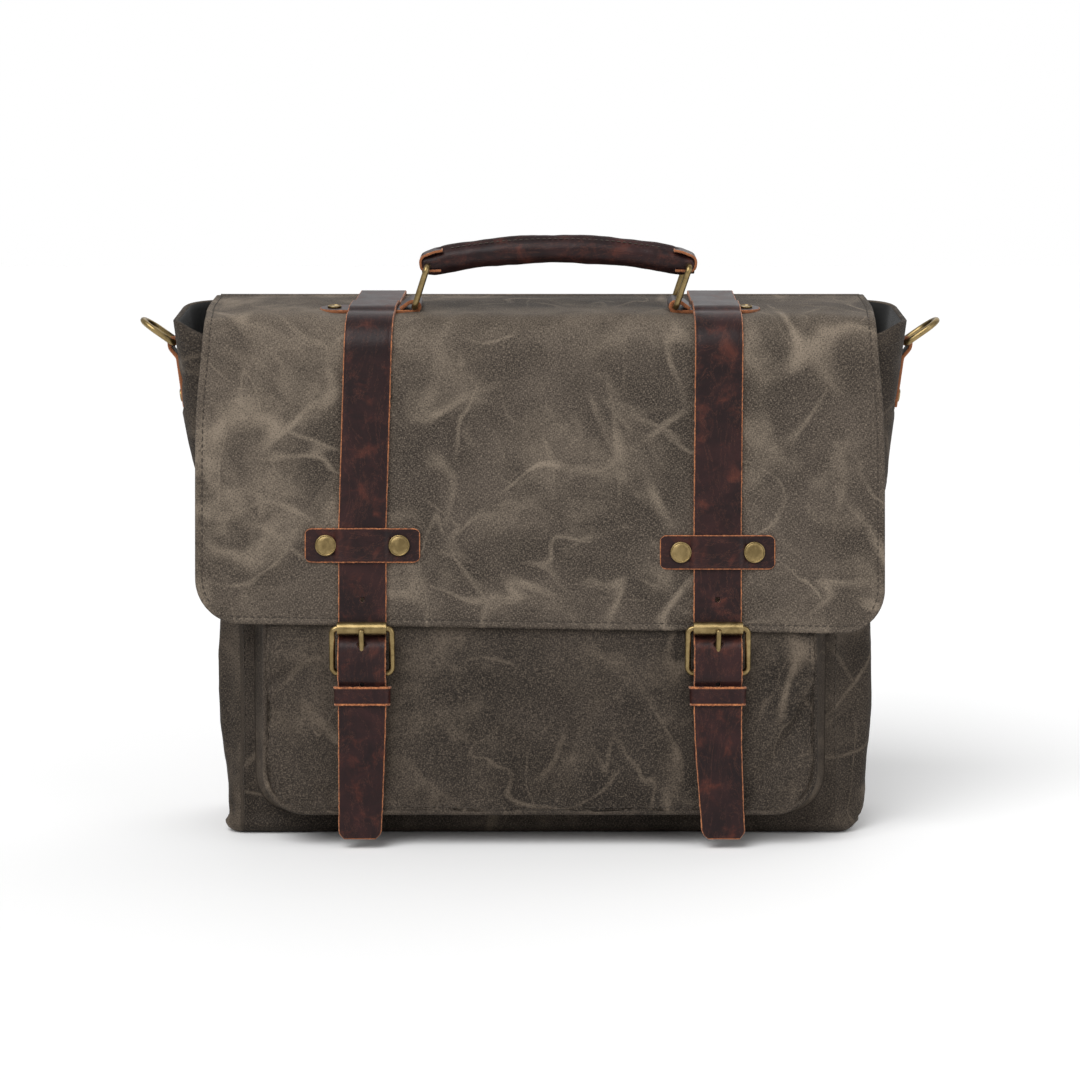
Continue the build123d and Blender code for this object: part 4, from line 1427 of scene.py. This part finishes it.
def sagged_body():
    """The body's outer surface after its cloth has settled, with seams and small folds."""
    rings, outward = body_rings()
    z = rings[..., 2]
    calm = smooth(z, 1, 16) * (1 - smooth(z, 268, 296))
    middle = (BACK_Y + FRONT_Y) / 2
    at_tab = np.exp(-(((rings[..., 1] - middle) / 13) ** 2)) * smooth(z, 232, 250) * np.abs(outward[..., 0])
    free = calm * (1 - at_tab)
    move = np.zeros(rings.shape[:2])
    slide = np.zeros(rings.shape)
    shift = settle(rings, body_pins(rings), True, *BODY_CLOTH) - rings
    move = (shift * outward).sum(-1)
    slide = shift - outward * move[..., None]
    side = np.abs(outward[..., 0])
    stretched = rings * (1.0, 1.0, 0.4)
    folds = noise_at(stretched, 30, 5) * 1.6 + creases(stretched, 36, 6) * 1.2
    low = np.exp(-(((z - 24) / 24) ** 2))
    pucker = noise_at(rings * (1.0, 1.0, 0.6), 13, 9) * 1.2 * low
    relief = folds * (0.35 + 0.65 * side) + canvas_relief(rings, 0.8, 8.0) + pucker
    groove = np.zeros(rings.shape[:2])
    for column in seam_columns():
        groove[:, column] = -1.0
    proud = 1.5 + 3.0 * smooth(outward[..., 1], 0, 1)
    belly = 3.5 * np.exp(-(((z - 85) / 45) ** 2)) - 5.5
    belly = belly + RIGHT_FULLNESS * smooth(outward[..., 0], 0.2, 0.9)
    move = soft_cap(move, -6.0, proud) + relief - 0.6 + belly * side * (1 - smooth(z, 170, 240))
    slide = soft_cap(slide, -2.5, 2.5)
    return rings + outward * (move * free + groove * smooth(z, 4, 12))[..., None] + slide * free[..., None]


def build_body():
    """Body shell: canvas outside, lining inside, closed base, rounded rim."""
    outer = sagged_body()
    _, outward = body_rings()
    inner = outer - outward * WALL
    inner[..., 2] = np.maximum(inner[..., 2], WALL)
    rim = (outer[-1] + inner[-1]) / 2 + (0, 0, 0.9)
    rings = np.concatenate([outer, rim[None], inner[::-1]])
    count, around = rings.shape[:2]
    faces = grid_faces(count, around, True)
    inside = [0 if f[0] // around <= len(outer) else 1 for f in faces]
    last = (count - 1) * around
    faces += [tuple(range(around)), tuple(range(last, last + around))]
    run = np.append(0, np.cumsum(np.linalg.norm(np.diff(outer[20][:, :2], axis=0), axis=1)))
    rest = np.stack([np.broadcast_to(run, (count, around)), rings[..., 2], rings[..., 2] * 0], -1)
    verts, rest = rings.reshape(-1, 3), rest.reshape(-1, 3)
    shell = make_object("bag_shell", verts, faces, [CANVAS_BODY, LINING], inside + [0, 1], rest)
    names = ("front_panel", "back_panel", "side_gusset_left", "side_gusset_right", "base_panel", "lining")
    declare(shell, "waxed_canvas", "bag", *names)
    normals = outward[-4]
    line = np.vstack([outer[-4], outer[-4][:1]])
    normals = np.vstack([normals, normals[:1]])
    row = stitches("rim_stitches", line, normals, THREAD, STITCH, STITCH_PITCH, 0.38)
    declare(row, "waxed_canvas", "bag")
    build_seam_stitches(outer, outward)


def build_seam_stitches(outer, outward):
    """Top stitching beside each seam between a panel and a gusset."""
    for number, column in enumerate(seam_columns()):
        beside = column + (1 if number % 2 else -1) * 2
        line = outer[TURN_ROWS + 2 : -2, beside % outer.shape[1]]
        normals = outward[TURN_ROWS + 2 : -2, beside % outer.shape[1]]
        row = stitches("seam_stitches_%d" % number, line, normals, THREAD, STITCH, STITCH_PITCH, 0.34)
        declare(row, "waxed_canvas", "bag")


# ---------------------------------------------------------------- front pocket
def pocket_outline(half, bottom, corner, top, step=3.0):
    """U-shaped outline, from the top left down and round to the top right."""
    points = ((-half, top), (-half, bottom), (half, bottom), (half, top))
    return Track(points, [corner, corner], step).p


def pocket_relief(x, v):
    """Small folds of the pocket's face, some of them radiating from two low points."""
    points = np.stack([x, v, x * 0], -1)
    star = star_folds(x, v, (-35.0, 78.0), 7, 62.0)
    star += 0.6 * star_folds(x, v, (70.0, 60.0), 5, 50.0)
    gather = creases(points * (1.0, 0.45, 1.0), 17, 12) * np.exp(-(((v - POCKET_BOTTOM) / 22) ** 2))
    return canvas_relief(points, 0.9, 4.0) + star * 1.2 + gather * 1.3


def star_folds(x, v, centre, arms, reach):
    """Creases that radiate from a point."""
    dx, dv = x - centre[0], v - centre[1]
    distance = np.hypot(dx, dv)
    angle = np.arctan2(dv, dx)
    ridge = np.abs(np.cos(angle * arms / 2 + np.sin(angle * 2) * 0.5))
    fade = np.exp(-((distance / reach) ** 2)) * np.clip(distance / 12, 0.25, 1)
    return ((1 - ridge) ** 3 * 1.6 - 0.3) * fade


def pocket_room(x, v):
    """How far the pocket's face may stand out: nothing under the straps and the flap."""
    return 4.2 * strap_room(x, 19, 42) * (1 - smooth(v, 100, 126)) - 0.1


def pocket_surface():
    """Grid of the pocket's face in the FRONT frame, after its cloth has settled."""
    half, bottom = POCKET_HALF - 1.2, POCKET_BOTTOM + 1.2
    columns = spaced(-half, half, 2.6, (0.8, 2.0))
    rows = spaced(bottom, POCKET_TOP, 2.6, (0.8, 2.0))
    radius = POCKET_CORNER - 1.2
    grid = np.zeros((len(rows), len(columns), 3))
    for r, v in enumerate(rows):
        inset = radius - math.sqrt(radius**2 - max(radius - (v - bottom), 0) ** 2)
        grid[r] = np.column_stack([columns * (half - inset) / half, columns * 0 + v, columns * 0 - 0.6])
    lift = np.zeros(grid.shape[:2])
    pins = np.zeros(grid.shape[:2])
    pins[:, 0] = pins[:, -1] = pins[0] = pins[-1] = 1.0
    shift = settle(grid, pins, False, *POCKET_CLOTH) - grid
    lift = shift[..., 2]
    grid[..., :2] += soft_cap(shift[..., :2], -2.0, 2.0)
    x, v = grid[..., 0], grid[..., 1]
    side = np.minimum(half - np.abs(x), v - bottom)
    calm = smooth(side, 0, 9) * smooth(POCKET_TOP - v, 0, 12)
    lift = lift + (pocket_relief(x, v) + 2.6 * smooth(side, 0, 55) - 1.0) * calm
    grid[..., 2] = soft_cap(lift, -7.0, pocket_room(x, v)) - 0.4
    return grid


def build_pocket():
    """Front pocket: soft face, gusset that flares to the bag, piping and stitches."""
    grid = pocket_surface()
    rows, columns = grid.shape[:2]
    back = grid - (0, 0, 2.0)
    verts = np.concatenate([place(FRONT, layer.reshape(-1, 3)) for layer in (grid, back)])
    rest = np.concatenate([grid.reshape(-1, 3), grid.reshape(-1, 3) + (0, 0, 400)])
    faces, indices = sheet_faces(rows, columns, np.full((rows, columns), 9.0), {"indices": (0, 1, 0)})
    face = make_object("pocket_face", verts, faces, [CANVAS_BODY, LINING], indices, rest)
    declare(face, "waxed_canvas", "bag", "pocket_front")
    build_pocket_gusset()
    build_pocket_stitches(grid)


def build_pocket_stitches(grid):
    """Stitches that follow the pocket's seam, 4 mm inside it."""
    outline = pocket_outline(POCKET_HALF - 4, POCKET_BOTTOM + 4, POCKET_CORNER - 3, POCKET_TOP - 1)
    line = resample(outline, np.linspace(0, 1, 300))
    flat = grid.reshape(-1, 3)
    lift = [flat[np.argmin(np.hypot(flat[:, 0] - x, flat[:, 1] - v)), 2] for x, v in line]
    lift = np.convolve(np.pad(lift, 2, "edge"), np.full(5, 0.2), "valid")
    points = place(FRONT, np.column_stack([line, lift]))
    normals = np.tile(FRONT[:3, 2], (len(line), 1))
    row = stitches("pocket_stitches", points, normals, THREAD, STITCH, STITCH_PITCH, 0.4, 0.1)
    declare(row, "waxed_canvas", "bag")


def from_pocket_middle(ring):
    """Unit vectors from the pocket's middle to each point, seen from the front."""
    away = ring - np.array((0, 0, POCKET_MIDDLE_Z))
    away[:, 1] = 0
    return away / np.linalg.norm(away, axis=1)[:, None]


def build_pocket_gusset():
    """Strip from the pocket's face back to the bag, with piping along the front seam."""
    front_line = pocket_outline(POCKET_HALF - 0.8, POCKET_BOTTOM + 0.8, POCKET_CORNER, POCKET_TOP)
    root_line = pocket_outline(POCKET_ROOT_HALF, 13.0, POCKET_CORNER, POCKET_TOP)
    count = 150
    pick = np.linspace(0, 1, count)
    front2 = resample(front_line, pick)
    root2 = resample(root_line, pick)
    front3 = place(FRONT, np.column_stack([front2, np.full(count, -1.4)]))
    root3 = np.column_stack([root2[:, 0], np.full(count, FRONT_Y + 0.5), root2[:, 1]])
    rows = 12
    outer = []
    for k in range(rows + 1):
        share = k / rows
        ring = front3 * (1 - share) + root3 * share
        away = from_pocket_middle(ring)
        sag = math.sin(share * math.pi) * (noise_at(ring, 22, 11) * 1.6 - 1.4)
        outer.append(ring + away * sag[:, None])
    inner = [ring - from_pocket_middle(ring) * GUSSET for ring in outer]
    verts = np.concatenate([np.concatenate(outer), np.concatenate(inner)])
    faces, indices = sheet_faces(rows + 1, count, np.ones((rows + 1, count)) * 9, {"indices": (0, 1, 0)})
    along = np.arange(count) * 4.6
    lines = [np.column_stack([along, np.full(count, k * 3.0), along * 0]) for k in range(rows + 1)]
    rest = np.concatenate(lines * 2)
    strip = make_object("pocket_gusset_strip", verts, faces, [CANVAS_BODY, LINING], indices, rest)
    declare(strip, "waxed_canvas", "bag", "pocket_gusset")
    cord = place(FRONT, np.column_stack([front2, np.full(count, -0.9)]))
    piping = tube("pocket_edge_piping", cord, 1.5, CANVAS_BODY, 12)
    declare(piping, "waxed_canvas", "bag", "pocket_piping")


def resample(line, shares):
    """Points at shares of a polyline's length."""
    run = np.append(0, np.cumsum(np.linalg.norm(np.diff(line, axis=0), axis=1)))
    return np.stack([np.interp(shares * run[-1], run, line[:, k]) for k in range(line.shape[1])], 1)


# ---------------------------------------------------------------- inside of the bag
def padded_panel(name, low, high, puff, material):
    """Upright padded panel between two corners, crowned on both faces."""
    low, high = np.array(low, float), np.array(high, float)
    xs = spaced(low[0], high[0], 6.0, (0.6, 2.0, 4.0))
    zs = spaced(low[2], high[2], 6.0, (0.6, 2.0, 4.0))
    gx, gz = np.meshgrid(xs, zs)
    edge = np.minimum(np.minimum(gx - low[0], high[0] - gx), np.minimum(gz - low[2], high[2] - gz))
    crown = np.sqrt(np.clip(1 - (1 - np.clip(edge / puff, 0, 1)) ** 2, 0, 1))
    middle = (low[1] + high[1]) / 2
    half = (high[1] - low[1]) / 2 * (0.35 + 0.65 * crown)
    seam = 0.5 * np.exp(-(((edge - 7) / 1.2) ** 2))
    verts = [np.stack([gx, middle + s * (half - seam), gz], -1).reshape(-1, 3) for s in (-1, 1)]
    faces, _ = sheet_faces(len(zs), len(xs), edge * 0 + 9, {})
    rest = np.tile(np.stack([gx, gz, gx * 0], -1).reshape(-1, 3), (2, 1))
    return make_object(name, np.concatenate(verts), faces, [material], None, rest)


def build_inside():
    """Padded divider, slip pocket and base board."""
    low, high = node_box("laptop_divider")
    divider = padded_panel("divider_pad", low, high, 9.0, PADDING)
    declare(divider, "padded_divider", "bag", "laptop_divider")
    low, high = node_box("base_board")
    board = padded_panel("base_board_cover", low, high, 2.0, PADDING)
    declare(board, "stiffener_board", "bag", "base_board")
    low, high = node_box("inner_pocket")
    front = padded_panel("slip_pocket", (low[0], high[1] - 2.5, low[2]), high, 3.0, PADDING)
    declare(front, "lining_cloth", "bag", "inner_pocket")


# ---------------------------------------------------------------- CAD nodes that stay
BRASS_NODES = ("buckle_frame", "roller", "prong", "handle_ring", "side_ring", "snap_stud", "snap_socket")


def dress_nodes():
    """Materials of the metal and leather nodes whose CAD shape is already right."""
    for side, _ in SIDES:
        for name in BRASS_NODES:
            dress(name + "_" + side, CAD_BRASS)
        dress("chape_" + side, CAD_LEATHER)


# ---------------------------------------------------------------- studio
# name, kind, place, size or angle, power
LAMPS = (
    ("key", "SUN", (-0.55, -1.0, 1.35), 0.75, 2.3),
    ("fill", "AREA", (1.4, -1.2, 0.8), 1.3, 8),
    ("back", "SUN", (0.5, 1.2, 1.3), 1.2, 0.7),
)


def build_studio():
    """Pale floor, white surround and soft light."""
    bpy.ops.mesh.primitive_plane_add(size=FLOOR_SIZE, location=(0, 0, -FLOOR_DROP))
    floor = bpy.context.object
    floor.name = "studio_floor"
    floor.data.materials.append(FLOOR)
    scene = bpy.context.scene
    scene.view_settings.view_transform = "Standard"
    world = bpy.data.worlds.new("studio")
    scene.world = world
    world.use_nodes = True
    tree = world.node_tree
    path = tree.nodes.new("ShaderNodeLightPath")
    strength = tree.nodes.new("ShaderNodeMapRange")
    strength.inputs["To Min"].default_value = WORLD_LIGHT
    strength.inputs["To Max"].default_value = WORLD_SEEN
    tree.links.new(path.outputs["Is Camera Ray"], strength.inputs["Value"])
    background = tree.nodes["Background"]
    background.inputs["Color"].default_value = (1, 1, 1, 1)
    tree.links.new(strength.outputs["Result"], background.inputs["Strength"])
    for name, kind, spot, size, power in LAMPS:
        light = bpy.data.lights.new(name, kind)
        if kind == "SUN":
            light.angle = size
        else:
            light.size = size
        light.energy = power
        lamp = bpy.data.objects.new(name, light)
        scene.collection.objects.link(lamp)
        lamp.location = spot
        aim = Vector((0, 0, LAMP_AIM)) - Vector(spot)
        lamp.rotation_euler = aim.to_track_quat("-Z", "Y").to_euler()


def build_camera():
    """Camera a little above the bag's middle, straight in front of it."""
    target = Vector((0.0, 0.0, CAMERA_AIM))
    elevation = math.radians(CAMERA_RISE)
    camera = bpy.data.cameras.new("camera")
    camera.lens = CAMERA_LENS
    camera.sensor_width = CAMERA_SENSOR
    obj = bpy.data.objects.new("camera", camera)
    bpy.context.scene.collection.objects.link(obj)
    obj.location = target + Vector((0, -math.cos(elevation), math.sin(elevation))) * CAMERA_AWAY
    obj.rotation_euler = (target - obj.location).to_track_quat("-Z", "Y").to_euler()
    bpy.context.scene.camera = obj


build_studio()
build_camera()
build_body()
build_pocket()
build_inside()
build_flap()
build_back_seam()
for side, sign in SIDES:
    build_strap(side, sign)
    build_cross_tab(side, sign)
    build_keeper(side, sign)
    build_anchor_tab(side, sign)
    build_side_tab(side, sign)
left_end, right_end, _ = handle_ends()
build_grip()
build_handle_loop("left", left_end, 1)
build_handle_loop("right", right_end, -1)
dress_nodes()
